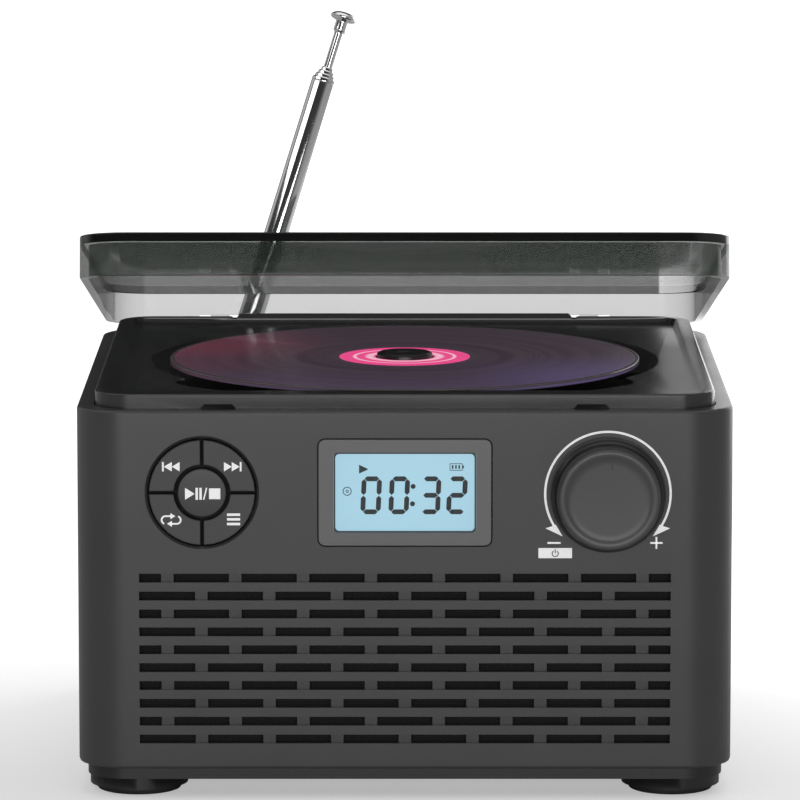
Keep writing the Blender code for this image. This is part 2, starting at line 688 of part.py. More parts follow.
def make_base():
    """Bottom cover: a plinth with four moulded feet, a locating lip, rubber pads, and the battery on it."""
    half = WIDTH / 2 - PLINTH_INSET
    top = SHELL_LOW - GAP
    base = block(
        "base_plate", around(0, half), (PLINTH_INSET, DEPTH - PLINTH_INSET), (PLINTH_LOW, top), "black_plastic",
        corner=CORNER - PLINTH_INSET, segments=6,
    )
    lip = WALL + GAP
    lip_ring = block(
        "base_lip", around(0, WIDTH / 2 - lip), (lip, DEPTH - lip), (top - 0.001, top + LIP_RISE),
        corner=CORNER - lip, segments=5,
    )
    inner = lip + LIP_THICK
    lip_inside = block(
        "base_lip_inside", around(0, WIDTH / 2 - inner), (inner, DEPTH - inner), (top, top + 0.006),
        corner=CORNER - inner, segments=4,
    )
    join(base, lip_ring)
    cut(base, lip_inside)
    inset = PLINTH_INSET + FOOT_RADIUS
    for x, side in ((inset - WIDTH / 2, "left"), (WIDTH / 2 - inset, "right")):
        for y, end in ((inset, "front"), (DEPTH - inset, "back")):
            foot = bar("foot", (x, y, FOOT_LOW), (x, y, PLINTH_LOW + 0.001), FOOT_RADIUS - 0.0004, sides=32)
            seat = bar("foot_seat", (x, y, FOOT_LOW - PAST), (x, y, FOOT_LOW + 0.0006), PAD_RADIUS + GAP, sides=24)
            join(base, foot)
            cut(base, seat)
            high, edge = FOOT_LOW + GAP, 0.0004
            turned(
                f"foot_pad_{end}_{side}",
                [(0, high), (PAD_RADIUS, high), (PAD_RADIUS, edge), (PAD_RADIUS - edge, 0), (0, 0)],
                "rubber", place=(x, y, 0), sides=24,
            )
    block(
        "battery_pack", around(0, BATTERY_HALF), BATTERY_Y, (top + GAP, BATTERY_TOP), "battery_wrap",
        corner=0.008, axis=0,
    )


def make_display():
    """Bezel frame, clear window, liquid-crystal panel and its light guide."""
    bezel = block(
        "display_bezel", around(0, BEZEL[0] / 2), (-0.0004, 0.0016), around(PANEL_Z, BEZEL[1] / 2), "bezel_grey",
        corner=0.0016, rim=0.0002, axis=1, segments=4,
    )
    opening = block(
        "window_opening", around(0, WINDOW[0] / 2), (-PAST, PAST * 2), around(PANEL_Z, WINDOW[1] / 2),
        corner=0.0008, axis=1, segments=3,
    )
    cut(bezel, opening)
    block(
        "display_window", around(0, WINDOW[0] / 2 - GAP), (0.0003, 0.0013), around(PANEL_Z, WINDOW[1] / 2 - GAP),
        "window_clear", corner=0.0006, axis=1, segments=3,
    )
    across, upright = around(0, LCD_HALF[0]), around(PANEL_Z, LCD_HALF[1])
    block("lcd_panel", across, (0.0019, 0.0042), upright, "display_blue")
    block("backlight_plate", across, (0.0045, 0.0065), upright, "white_plastic")


def key_outline(quadrant):
    """A quarter ring between the cross-shaped gaps; both gap sides run parallel to the axes."""
    half = KEY_GAP / 2
    outer_start = math.degrees(math.asin(half / KEY_OUTER))
    inner_start = math.degrees(math.asin(half / KEY_INNER))
    points = arc((0, 0), KEY_OUTER, outer_start, 90 - outer_start, 9)
    points += arc((0, 0), KEY_INNER, 90 - inner_start, inner_start, 6)
    turn = math.radians(90 * quadrant)
    cos, sin = math.cos(turn), math.sin(turn)
    return [(KEYS_X + x * cos - z * sin, PANEL_Z + x * sin + z * cos) for x, z in points]


def make_keys():
    """Four quarter-ring buttons round the play button, on one rubber pad over the switches."""
    for quadrant, name in enumerate(("next_button", "previous_button", "repeat_button", "mode_button")):
        plate(name, [key_outline(quadrant)], KEY_FACE, KEY_BACK, "body_plastic", across="Y")
    turned(
        "play_button",
        [(0, 0.0006), (KEY_CENTRE - 0.0003, 0.0006), (KEY_CENTRE, 0.0003), (KEY_CENTRE, -KEY_BACK), (0, -KEY_BACK)],
        "body_plastic", place=(KEYS_X, 0, PANEL_Z), facing_front=True,
    )
    pad = bar("key_pad", (KEYS_X, 0.0034, PANEL_Z), (KEYS_X, 0.0044, PANEL_Z), 0.0132, "rubber", sides=32)
    board = block("control_board", around(0, 0.066), (0.0095, 0.0111), (0.0612, 0.0900), "board_green")
    corners = [math.radians(45 + 90 * quadrant) for quadrant in range(4)]
    spots = [(KEYS_X, PANEL_Z)]
    spots += [(KEYS_X + KEY_REACH * math.cos(a), PANEL_Z + KEY_REACH * math.sin(a)) for a in corners]
    for x, z in spots:
        join(board, bar("key_switch", (x, 0.0049, z), (x, 0.0100, z), 0.0016, sides=8))
        join(pad, bar("key_dome", (x, 0.0042, z), (x, 0.0046, z), 0.0012, sides=8))
    chips = [
        ((0.012, 0.024), (0.0105, 0.0126), (0.066, 0.078)),
        ((-0.020, -0.008), (0.0105, 0.0131), (0.070, 0.077)),
    ]
    for ranges in chips:
        join(board, block("control_chip", *ranges))


def make_volume():
    """Knob pressed on the shaft of the potentiometer behind the panel."""
    front = -KNOB_FRONT
    knob = [
        (0, front - 0.0005), (0.0100, front - 0.0004), (0.0111, front), (0.0118, front - 0.0001),
        (0.01235, front - 0.0006), (0.0125, front - 0.0014), (0.0127, 0.0046), (0.0131, 0.0036),
        (KNOB_RADIUS, 0.0033), (KNOB_RADIUS, 0.0006), (0.0129, 0.0006), (0.0129, 0.0030), (0.0045, 0.0030),
        (0.0045, 0.0006), (0.0033, 0.0006), (0.0033, front - 0.0028), (0, front - 0.0028),
    ]
    body = turned(
        "volume_knob", knob, "knob_plastic", place=(KNOB_X, 0, KNOB_Z), facing_front=True, sides=40,
    )
    mark = block(
        "knob_mark", around(KNOB_MARK_X, 0.0003), (KNOB_FRONT - PAST, KNOB_FRONT + 0.0008), KNOB_MARK_Z,
    )
    cut(body, mark)
    pot = block(
        "volume_pot", around(KNOB_X, POT_HALF), (0.0030, 0.0091), around(KNOB_Z, POT_HALF), "steel",
    )
    bore = bar("pot_bore", (KNOB_X, 0.0010, KNOB_Z), (KNOB_X, 0.0060, KNOB_Z), SHAFT_RADIUS + GAP)
    cut(pot, bore)
    turned(
        "pot_shaft",
        [(0, 0.0072), (0.0027, 0.0072), (SHAFT_RADIUS, 0.0069), (SHAFT_RADIUS, -0.0056), (0, -0.0056)],
        "brass", place=(KNOB_X, 0, KNOB_Z), facing_front=True, sides=24,
    )


def make_speakers():
    """Cloth behind the grille and two small loudspeakers: basket, cone and magnet."""
    block("speaker_cloth", around(0, CLOTH_HALF), (WALL + GAP, WALL + 0.0008), CLOTH_Z, "cloth")
    basket = [
        (SPEAKER_RADIUS, -0.0040), (SPEAKER_RADIUS, -0.0056), (0.0235, -0.0056), (0.0135, -0.0170),
        (0.0135, -0.0185), (0.0055, -0.0185), (0.0055, -0.0170), (0.0120, -0.0170), (0.0220, -0.0050),
        (0.0225, -0.0040),
    ]
    cone = [
        (0, -0.0112), (0.0065, -0.0122), (0.0200, -0.0048), (0.0208, -0.0042), (0.0216, -0.0042),
        (0.0218, -0.0048), (0.0212, -0.0054), (0.0075, -0.0130), (0, -0.0118),
    ]
    magnet = [
        (0, -0.0172), (0.0050, -0.0172), (0.0050, -0.0188), (MAGNET_RADIUS, -0.0188), (MAGNET_RADIUS, -0.0275),
        (0, -0.0275),
    ]
    for side, word in ((-1, "left"), (1, "right")):
        place = (side * SPEAKER_X, 0.0008, SPEAKER_Z)
        turned(f"speaker_frame_{word}", basket, "black_plastic", None, place, True, True, 20)
        turned(f"speaker_cone_{word}", cone, "paper_cone", None, place, True, False, 20)
        turned(f"speaker_magnet_{word}", magnet, "steel", None, place, True, False, 20)


def teeth_points(count, height, base, width):
    """Trapezoid teeth as (distance along, height) points; width is the tooth's share of the pitch."""
    points = []
    for i in range(count):
        for share, level in ((-width, base), (-width * 0.45, height), (width * 0.45, height), (width, base)):
            points.append((i + share, level))
    return points


def make_drive():
    """Spindle motor with hub and disc, and the pickup sled with rack, pinion and rods, on one chassis."""
    y = DISC_Y
    chassis = block(
        "mech_chassis", CHASSIS_X, CHASSIS_Y, (CHASSIS_TOP - 0.002, CHASSIS_TOP), "black_plastic",
    )
    for x in ((0.0135, 0.0160), (0.0735, 0.0760)):
        join(chassis, block("chassis_rib", x, around(y, 0.0140), (CHASSIS_TOP - 0.001, ROD_Z + 0.0025)))
    for name, sign in (("guide_rod_front", -1), ("guide_rod_back", 1)):
        rod_y = y + sign * ROD_OFFSET
        bar(name, (ROD_SPAN[0], rod_y, ROD_Z), (ROD_SPAN[1], rod_y, ROD_Z), ROD_THICK, "steel", sides=16)
        cut(chassis, bar("rod_seat", (0.010, rod_y, ROD_Z), (0.080, rod_y, ROD_Z), ROD_SEAT, sides=16))
    pitch = TOOTH_MODULE * math.pi
    pinion_radius = TOOTH_MODULE * PINION_TEETH / 2
    pinion_y = RACK_PITCH_Y - pinion_radius
    cut(chassis, bar("pinion_hole", (PINION_X, pinion_y, 0.07), (PINION_X, pinion_y, 0.09), 0.0020, sides=16))
    spindle = bar(
        "spindle_motor", (0, y, CHASSIS_TOP + GAP), (0, y, 0.0915), SPINDLE_MOTOR_RADIUS, "steel", sides=32,
    )
    cut(spindle, bar("motor_bore", (0, y, 0.084), (0, y, 0.095), MOTOR_SHAFT + GAP, sides=16))
    low = DISC_TOP - DISC_THICK - GAP
    turned(
        "spindle_hub",
        [(0, HUB_TOP), (0.0040, HUB_TOP), (0.0060, HUB_TOP - 0.0003), (0.0071, HUB_TOP - 0.0011),
         (HUB_RADIUS, low), (HUB_FLANGE, low), (HUB_FLANGE, low - 0.0012), (0.0030, low - 0.0012),
         (MOTOR_SHAFT, low - 0.0040), (MOTOR_SHAFT, 0.0855), (0, 0.0855)],
        "black_plastic", place=(0, y, 0), sides=28,
    )
    turned(
        "disc",
        [(DISC_RADIUS - 0.0002, DISC_TOP), (DISC_RADIUS, DISC_TOP - 0.0002), (DISC_RADIUS, DISC_TOP - 0.0010),
         (DISC_RADIUS - 0.0002, DISC_TOP - DISC_THICK), (DISC_HOLE, DISC_TOP - DISC_THICK), (DISC_HOLE, DISC_TOP)],
        "disc_foil", place=(0, y, 0), closed=True, sides=72,
    )
    sled = block("pickup_sled", SLED_X, around(y, 0.0150), (0.0845, 0.0905), "black_plastic")
    start, end = PINION_X - RACK_REACH * pitch, PINION_X + 1.8 * pitch
    join(sled, block("sled_rack", (start, end), (RACK_PITCH_Y - 0.0006, 0.0620), (0.0851, 0.0879)))
    tooth_gaps = [
        [(PINION_X + (i - RACK_REACH + share) * pitch, RACK_PITCH_Y + level)
         for share, level in ((0.30, 0.0010), (0.70, 0.0010), (0.917, -0.0011), (0.083, -0.0011))]
        for i in range(RACK_TEETH)
    ]
    cut(sled, plate("rack_gaps", tooth_gaps, 0.0840, 0.0890))
    for sign in (-1, 1):
        rod_y = y + sign * ROD_OFFSET
        cut(sled, bar("sled_bore", (0.010, rod_y, ROD_Z), (0.060, rod_y, ROD_Z), ROD_SEAT, sides=16))
    turned(
        "pickup_lens",
        [(0, 0.0933), (0.0018, 0.0931), (0.0030, 0.0926), (LENS_RADIUS, 0.0922), (LENS_RADIUS, 0.0908),
         (0, 0.0908)],
        "lens_glass", place=(LENS_X, y, 0), sides=24,
    )
    ring = []
    for t, level in teeth_points(PINION_TEETH, pinion_radius + 0.0006, pinion_radius - 0.0010, 0.30):
        angle = 2 * math.pi * (t / PINION_TEETH) + math.pi / 2
        ring.append((PINION_X + level * math.cos(angle), pinion_y + level * math.sin(angle)))
    pinion = plate("sled_pinion", [ring], 0.0852, 0.0878, "white_plastic")
    shaft = bar("pinion_shaft", (PINION_X, pinion_y, 0.0745), (PINION_X, pinion_y, 0.0860), MOTOR_SHAFT, sides=16)
    join(pinion, shaft)
    motor = bar(
        "sled_motor", (PINION_X, pinion_y, 0.0650), (PINION_X, pinion_y, 0.0790), SLED_MOTOR_RADIUS, "steel",
        sides=28,
    )
    bore = bar(
        "sled_motor_bore", (PINION_X, pinion_y, 0.0740), (PINION_X, pinion_y, 0.0800), MOTOR_SHAFT + GAP, sides=16,
    )
    cut(motor, bore)


def make_boards():
    """Main circuit board and the switch that stops the disc when the lid opens."""
    board = block("main_board", around(0, BOARD_HALF), BOARD_Y, (BOARD_TOP - 0.0016, BOARD_TOP), "board_green")
    parts = [
        ((-0.030, -0.012), (0.080, 0.098), 0.0025), ((0.010, 0.022), (0.074, 0.086), 0.0020),
        ((-0.044, -0.036), (0.104, 0.116), 0.0090), ((0.030, 0.044), (0.096, 0.118), 0.0060),
        ((-0.006, 0.002), (0.106, 0.120), 0.0045), ((0.028, 0.040), (0.062, 0.070), 0.0055),
    ]
    for x, y, height in parts:
        join(board, block("board_part", x, y, (BOARD_TOP - 0.0006, BOARD_TOP + height)))
    block("lid_switch", around(NOTCH_X, 0.0035), (0.0125, 0.0175), (0.0845, DECK_LOW - GAP), "black_plastic")


def make_antenna():
    """Turret on the rear cover, a clevis and its pin, four nested tubes and the inner rod."""
    swivel = empty("antenna_swivel_axis", ROOT, PIVOT, (0, LEAN, 0))
    tilt = empty("antenna_tilt_axis", swivel, (0, 0, 0), (-TILT, 0, 0))
    rear = DEPTH - PIVOT[1]
    base = bar(
        "antenna_base", (0, rear + GAP, 0), (0, rear + 0.0042, 0), TURRET_RADIUS, "black_plastic", swivel, 28,
    )
    neck = bar("turret_neck", (0, rear - 0.0040, 0), (0, rear + 0.0010, 0), TURRET_NECK, None, swivel)
    collar = bar("turret_collar", (0, rear - 0.0045, 0), (0, rear - 0.0027, 0), 0.0052, None, swivel)
    join(base, neck, collar)
    for side in (-1, 1):
        outline = arc((0, 0), CHEEK_RADIUS, -90, 90, 12)
        outline += [(rear + 0.0035, CHEEK_RADIUS), (rear + 0.0035, -CHEEK_RADIUS)]
        join(base, plate("turret_cheek", [outline], *around(side * CHEEK_X, 0.0008), None, swivel, "X"))
    cut(base, bar("turret_bore", (-0.006, 0, 0), (0.006, 0, 0), TILT_PIN + GAP, None, swivel, 16))
    bar("antenna_pin", (-0.0039, 0, 0), (0.0039, 0, 0), TILT_PIN, "steel", swivel, 16)
    outline = [(-0.0026, 0.0060)] + arc((0, 0), 0.0032, 144, 396, 20) + [(0.0026, 0.0060)]
    knuckle = plate("antenna_knuckle", [outline], -0.0020, 0.0020, "chrome", tilt, "X")
    seat = bar("knuckle_seat", (0, 0, 0.0046), (0, 0, 0.0072), TUBE_RADII[0][0], None, tilt)
    plug = bar("knuckle_plug", (0, 0, 0.0060), (0, 0, 0.0120), TUBE_RADII[0][1] - GAP, None, tilt)
    join(knuckle, seat, plug)
    cut(knuckle, bar("knuckle_bore", (-0.004, 0, 0), (0.004, 0, 0), TILT_PIN + GAP, None, tilt, 16))
    for number, ((outer, inner), low) in enumerate(zip(TUBE_RADII, TUBE_LOWS)):
        top = TUBE_TOP + number * TUBE_STEP
        turned(
            f"antenna_tube_{number + 1}",
            [(outer - 0.0002, top), (outer, top - 0.0003), (outer, low), (inner, low), (inner, top)],
            "chrome", tilt, closed=True, sides=20,
        )
    turned(
        "antenna_rod",
        [(0, ROD_TOP + TIP_HEIGHT), (0.0020, ROD_TOP + TIP_HEIGHT - 0.0002), (0.0032, ROD_TOP + 0.0016),
         (TIP_RADIUS, ROD_TOP + TIP_BULGE), (0.0034, ROD_TOP + 0.0003), (0.0026, ROD_TOP),
         (0.00175, ROD_TOP - 0.0002), (0.00175, ROD_TOP - 0.0030), (ROD_RADIUS, ROD_TOP - 0.0034),
         (ROD_RADIUS, ROD_LOW), (0, ROD_LOW)],
        "chrome", tilt, sides=20,
    )


for old in list(bpy.data.objects):
    bpy.data.objects.remove(old, do_unlink=True)
PARTS = new_collection("portable_cd_player", False)
HELPERS = new_collection("cutters", True)
ROOT = empty("player_origin", None, (0, -(antenna_back() + KNOB_FRONT) / 2, 0))
make_shell()
make_deck()
make_lid()
make_rear()
make_base()
make_display()
make_keys()
make_volume()
make_speakers()
make_drive()
make_boards()
make_antenna()
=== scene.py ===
# %% [markdown]
# # A portable CD player, dressed piece by piece
#
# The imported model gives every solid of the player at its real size, in metres, with its joints.
# This lesson adds what a solid cannot carry: eased edges, moulded grain, smoked plastic, chrome,
# the rainbow of a disc, printed signs and a lit display. Each step says what the real piece is,
# how it could be made, and why it is made this way.

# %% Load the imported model
import json
import math

import bmesh
import bpy
import numpy as np
from mathutils import Matrix, Vector


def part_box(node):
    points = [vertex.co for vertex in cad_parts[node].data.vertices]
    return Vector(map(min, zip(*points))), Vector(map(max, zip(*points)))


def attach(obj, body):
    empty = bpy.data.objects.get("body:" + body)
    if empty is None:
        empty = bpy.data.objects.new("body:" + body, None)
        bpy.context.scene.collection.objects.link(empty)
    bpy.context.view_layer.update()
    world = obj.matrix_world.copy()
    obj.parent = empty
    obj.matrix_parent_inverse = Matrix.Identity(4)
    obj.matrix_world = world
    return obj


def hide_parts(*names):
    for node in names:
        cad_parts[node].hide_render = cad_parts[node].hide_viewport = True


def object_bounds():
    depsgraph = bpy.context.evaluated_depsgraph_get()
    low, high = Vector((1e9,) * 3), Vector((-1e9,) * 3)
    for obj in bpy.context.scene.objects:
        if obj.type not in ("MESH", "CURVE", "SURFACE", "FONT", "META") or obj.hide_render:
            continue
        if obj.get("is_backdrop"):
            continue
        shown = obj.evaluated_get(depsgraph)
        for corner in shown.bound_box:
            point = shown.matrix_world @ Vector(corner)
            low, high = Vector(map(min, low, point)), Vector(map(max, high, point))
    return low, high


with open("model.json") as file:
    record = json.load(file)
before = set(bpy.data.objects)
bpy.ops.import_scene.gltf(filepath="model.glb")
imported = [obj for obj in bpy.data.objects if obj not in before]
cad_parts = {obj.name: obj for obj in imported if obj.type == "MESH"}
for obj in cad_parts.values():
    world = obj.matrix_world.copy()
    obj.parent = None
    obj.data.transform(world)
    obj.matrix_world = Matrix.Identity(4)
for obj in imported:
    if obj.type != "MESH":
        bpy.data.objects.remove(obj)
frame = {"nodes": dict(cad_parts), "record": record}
cad_low, cad_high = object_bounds()

# %% [markdown]
# ## Where things are
#
# Sizes come from the solids themselves, so a change of the model carries through. A body is a set
# of solids that move together. Each new piece is told the body that it rides on.

# %% Measure the solids
MM = 0.001
BEHAVIOUR = frame["record"]["behaviour"]
BODY_OF = {node: body for body, nodes in BEHAVIOUR["bodies"].items() for node in nodes}


def middle(node):
    """The centre of a solid's box."""
    low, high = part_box(node)
    return (Vector(low) + Vector(high)) / 2


def joint(name):
    """The record of one joint: its place, axis and range."""
    return next(j for j in BEHAVIOUR["joints"] if j["name"] == name)


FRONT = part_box("main_shell")[0][1]
KEYS = middle("play_button")
KNOB = middle("volume_knob")
DISC = middle("disc")
print("front face at y =", round(FRONT / MM, 2), "mm")
print("disc centre", [round(v / MM, 1) for v in DISC])

# %% [markdown]
# ## The camera
#
# A product is usually taken with a long lens from far back, which keeps its vertical edges
# parallel. This one looks down by a little over eight degrees, so that the deck and the disc show
# under the open lid. It is neither turned nor shifted sideways, so every upright edge stays
# upright. The Standard view keeps the white floor white and the greys as they were mixed.

# %% Place the camera
CAMERA_PLACE = (-1.2 * MM, FRONT - 1437.1 * MM, 307.3 * MM)
LOOK_DOWN = 8.25
LENS, FILM_WIDTH = 268.6, 36
camera_data = bpy.data.cameras.new("camera")
camera_data.lens = LENS
camera_data.sensor_width = FILM_WIDTH
camera_data.clip_end = 60
camera = bpy.data.objects.new("camera", camera_data)
camera.location = CAMERA_PLACE
camera.rotation_euler = (math.radians(90 - LOOK_DOWN), 0, 0)
bpy.context.scene.collection.objects.link(camera)
bpy.context.scene.camera = camera
bpy.context.scene.view_settings.view_transform = "Standard"
print("camera:", LENS, "mm lens,", round(FRONT - CAMERA_PLACE[1], 3), "m in front of the player")

# %% [markdown]
# ## Shader sums written as sums
#
# A node tree is easier to read as arithmetic. An `Amount` is one number that varies over a
# surface. Adding, multiplying or comparing amounts adds the Math nodes that do it, and the
# reflected forms let a plain number stand first, as in 1 - mask.

# %% Amounts


class Amount:
    """A number that varies over a surface. Arithmetic on it adds Math nodes."""

    def __init__(self, nodes, socket):
        self.nodes, self.socket = nodes, socket

    def maths(self, operation, first, second=0.0):
        made = self.nodes.node("ShaderNodeMath", {"operation": operation}, {0: first, 1: second})
        return Amount(self.nodes, made.outputs[0])

    def __add__(self, other):
        return self.maths("ADD", self, other)

    __radd__ = __add__

    def __mul__(self, other):
        return self.maths("MULTIPLY", self, other)

    __rmul__ = __mul__

    def __sub__(self, other):
        return self.maths("SUBTRACT", self, other)

    def __rsub__(self, other):
        return self.maths("SUBTRACT", other, self)

    def __rtruediv__(self, other):
        return self.maths("DIVIDE", other, self)

    def __pow__(self, other):
        return self.maths("POWER", self, other)

    def __rpow__(self, other):
        return self.maths("POWER", other, self)

    def __gt__(self, other):
        return self.maths("GREATER_THAN", self, other)

    def __abs__(self):
        return self.maths("ABSOLUTE", self)

    def sine(self):
        return self.maths("SINE", self)

    def eased(self, low, high):
        """0 below low, 1 above high and an S-shaped rise between them."""
        settings = {"interpolation_type": "SMOOTHSTEP"}
        made = self.nodes.node("ShaderNodeMapRange", settings, {0: self, 1: low, 2: high})
        return Amount(self.nodes, made.outputs[0])


print("amounts ready")

# %% [markdown]
# `Nodes` adds nodes to a tree. Its `node` method makes any node from its settings, which are set
# first, and from the values or links of its sockets. The others are short names for the few that
# every finish needs: a place on the piece, noise of a size in metres, and a mix of two colours.

# %% Nodes


class Nodes:
    """A node tree, and short ways to add to it."""

    def __init__(self, tree):
        self.tree = tree

    def connect(self, socket, value):
        value = getattr(value, "socket", value)
        if isinstance(value, bpy.types.NodeSocket):
            self.tree.links.new(value, socket)
        else:
            socket.default_value = value

    def node(self, kind, settings=None, values=None):
        made = self.tree.nodes.new(kind)
        for key, value in (settings or {}).items():
            setattr(made, key, value)
        for key, value in (values or {}).items():
            self.connect(made.inputs[key], value)
        return made

    def place(self, turn=(0, 0, 0), shift=(0, 0, 0), stretch=(1, 1, 1)):
        """Object coordinates, turned, moved and stretched as asked."""
        here = self.node("ShaderNodeTexCoord").outputs["Object"]
        values = {"Vector": here, "Location": shift, "Rotation": turn, "Scale": stretch}
        return self.node("ShaderNodeMapping", None, values).outputs[0]

    def axes(self, vector):
        """The three numbers of a vector."""
        parts = self.node("ShaderNodeSeparateXYZ", None, {0: vector})
        return [Amount(self, parts.outputs[i]) for i in range(3)]

    def along(self, amount, other=0.0):
        """A vector whose x is the amount, so that noise on it changes along that alone."""
        return self.node("ShaderNodeCombineXYZ", None, {0: amount, 1: other}).outputs[0]

    def noise(self, size, detail=3.0, vector=None):
        """Noise from 0 to 1 whose blots are about size metres across."""
        values = {"Vector": vector or self.place(), "Scale": 1 / size, "Detail": detail}
        return Amount(self, self.node("ShaderNodeTexNoise", None, values).outputs["Fac"])

    def blend(self, factor, first, second):
        """Mixes two colours; a factor of 0 is all the first."""
        settings = {"data_type": "RGBA", "clamp_factor": True}
        pair = [(*c, 1) if isinstance(c, tuple) and len(c) == 3 else c for c in (first, second)]
        return self.node("ShaderNodeMix", settings, {0: factor, 6: pair[0], 7: pair[1]}).outputs[2]


print("nodes ready")

# %% [markdown]
# A `Finish` is one material: a Principled shader, and the nodes that vary its sockets.

# %% Finishes


class Finish(Nodes):
    """One material: a Principled shader, and the nodes that vary it."""

    def __init__(self, name, colour=(0.5, 0.5, 0.5), roughness=0.4, metallic=0.0, **constants):
        self.material = bpy.data.materials.new(name)
        self.material.use_nodes = True
        super().__init__(self.material.node_tree)
        self.shader = self.tree.nodes["Principled BSDF"]
        self.set("Base Color", (*colour, 1))
        self.set("Roughness", roughness)
        self.set("Metallic", metallic)
        for key, value in constants.items():
            self.set(key.replace("_", " "), value)

    def set(self, socket, value):
        self.connect(self.shader.inputs[socket], value)
        return self

    def relief(self, height, depth, strength):
        """Bumps of the given depth in metres, fed to the shader's normal."""
        values = {"Height": height, "Distance": depth, "Strength": strength}
        return self.set("Normal", self.node("ShaderNodeBump", None, values).outputs[0])


print("finishes ready")

# %% [markdown]
# ## Moulded plastic
#
# The case is injection-moulded: its steel mould was etched with a fine grain, so the plastic is
# satin, with specks about a third of a millimetre across. The same recipe at other grain sizes
# and gloss serves the case, the base, the knob and the buttons. Handling leaves wide, faint
# changes of gloss, which the second, larger noise gives.

# %% Plastics
WEAR = 0.018


def moulded(name, colour, roughness, grain=0.00035, depth=0.000012):
    """Satin plastic: fine noise is the etched grain, and wide noise, WEAR across, the gloss."""
    made = Finish(name, colour, roughness)
    fine, wide = made.noise(grain, 2.0), made.noise(WEAR, 4.0)
    lighter = tuple(min(1.0, c * 1.10 + 0.001) for c in colour)
    darker = tuple(c * 0.92 for c in colour)
    made.set("Base Color", made.blend(wide, darker, lighter))
    made.set("Roughness", (wide - 0.5) * 0.12 + (fine - 0.5) * 0.04 + roughness)
    return made.relief(fine, depth, 0.5)


case_grey = moulded("case_grey", (0.044, 0.044, 0.044), 0.35)
base_black = moulded("base_black", (0.014, 0.014, 0.014), 0.40)
key_grey = moulded("key_grey", (0.042, 0.042, 0.042), 0.42, grain=0.00025)
knob_grey = moulded("knob_grey", (0.056, 0.056, 0.056), 0.36, grain=0.00030)
bezel_grey = moulded("bezel_grey", (0.135, 0.135, 0.135), 0.40, grain=0.00025)
inner_black = moulded("inner_black", (0.014, 0.014, 0.014), 0.55)
natural_white = moulded("natural_white", (0.72, 0.71, 0.68), 0.45, depth=0.000006)
print("plastics ready")

# %% [markdown]
# ## The glossy deck
#
# The deck round the disc is polished black plastic. It mirrors what stands behind it at a low
# angle. Polishing leaves very shallow waves, and use leaves a few hair scratches, so the gloss
# is broken by a stretched noise that runs with the sweep of a wiping hand.

# %% Deck finish


def polished_deck():
    """Wide noise is the polisher's waves; noise stretched eight times along x is wiping marks."""
    made = Finish("deck_black", (0.026, 0.028, 0.026), 0.20, Coat_Roughness=0.08)
    wide = made.noise(0.030, 3.0)
    wiped = made.noise(0.0009, 3.0, made.place(stretch=(0.12, 1.0, 1.0)))
    made.set("Roughness", wide * 0.08 + (wiped > 0.66) * 0.04 + 0.15)
    made.set("Coat Weight", wide * 0.1 + 0.05)
    return made.relief(wide, 0.00002, 0.15)


deck_black = polished_deck()
print("deck finish ready")

# %% [markdown]
# ## Smoked clear plastic
#
# The lid is clear plastic with a grey dye, faintly green. Light that crosses a wall squarely keeps
# about half its strength: each of the wall's two surfaces here passes about seven tenths. At a
# slant the path through the dye is longer, so the share that passes is raised to one over the
# cosine of the slant, softened so that it never quite reaches zero. True refraction in so thin a
# shell adds noise and little else, so that share passes unbent and alpha is the rest. Seen end
# on, the plate's edge is as good as black, so it is a finish of its own.

# %% Lid finishes
CLEAR, SOFTENING = 0.65, 1.20


def smoked(name, colour):
    """Lets through CLEAR to the power of one over SOFTENING less the slant, which is 0 squarely."""
    made = Finish(name, colour, 0.05)
    weight = made.node("ShaderNodeLayerWeight", None, {"Blend": 0.5})
    slant = Amount(made, weight.outputs["Facing"])
    share = CLEAR ** (1 / (SOFTENING - slant))
    wide = made.noise(0.022, 3.0)
    made.set("Alpha", 1 - share + wide * 0.01)
    made.set("Roughness", wide * 0.02 + 0.05)
    return made


lid_smoke = smoked("lid_smoke", (0.022, 0.038, 0.024))
lid_edge = Finish("lid_edge", (0.006, 0.007, 0.006), 0.08)
lid_edge.set("Roughness", lid_edge.noise(0.012) * 0.08 + 0.05)
print("lid finishes ready")

# %% [markdown]
# ## Metals
#
# The antenna is drawn brass tube with bright chrome: the drawing leaves hair lines along the tube,
# so its noise is stretched by twenty along the mast. Screws, pins and motor cans are plated steel
# with a duller, rounder grain.

# %% Metals
tilt_axis = Vector(joint("antenna_tilt")["axis"])
mast = Vector(joint("antenna_slide_2")["axis"])
MAST_FOOT = Vector(joint("antenna_tilt")["pos_m"])
ACROSS = mast.cross(tilt_axis).normalized()
MAST_FRAME = Matrix((tilt_axis, ACROSS, mast)).transposed()
TO_MAST = MAST_FRAME.transposed().to_4x4() @ Matrix.Translation(-MAST_FOOT)


def drawn_chrome():
    """Noise in the mast's own directions, stretched twenty times along it, is the drawing lines."""
    made = Finish("drawn_chrome", (0.78, 0.78, 0.79), 0.07, 1.0)
    along = made.place(turn=tuple(TO_MAST.to_euler()), shift=tuple(TO_MAST.to_translation()))
    stretched = made.node("ShaderNodeMapping", None, {"Vector": along, "Scale": (1, 1, 1 / 20)})
    lines = made.noise(0.00045, 3.0, stretched.outputs[0])
    spots = made.noise(0.006, 3.0)
    made.set("Roughness", lines * 0.05 + spots * 0.05 + 0.02)
    made.set("Base Color", made.blend(lines, (0.72, 0.72, 0.73), (0.84, 0.84, 0.85)))
    return made.relief(lines, 0.000002, 0.25)


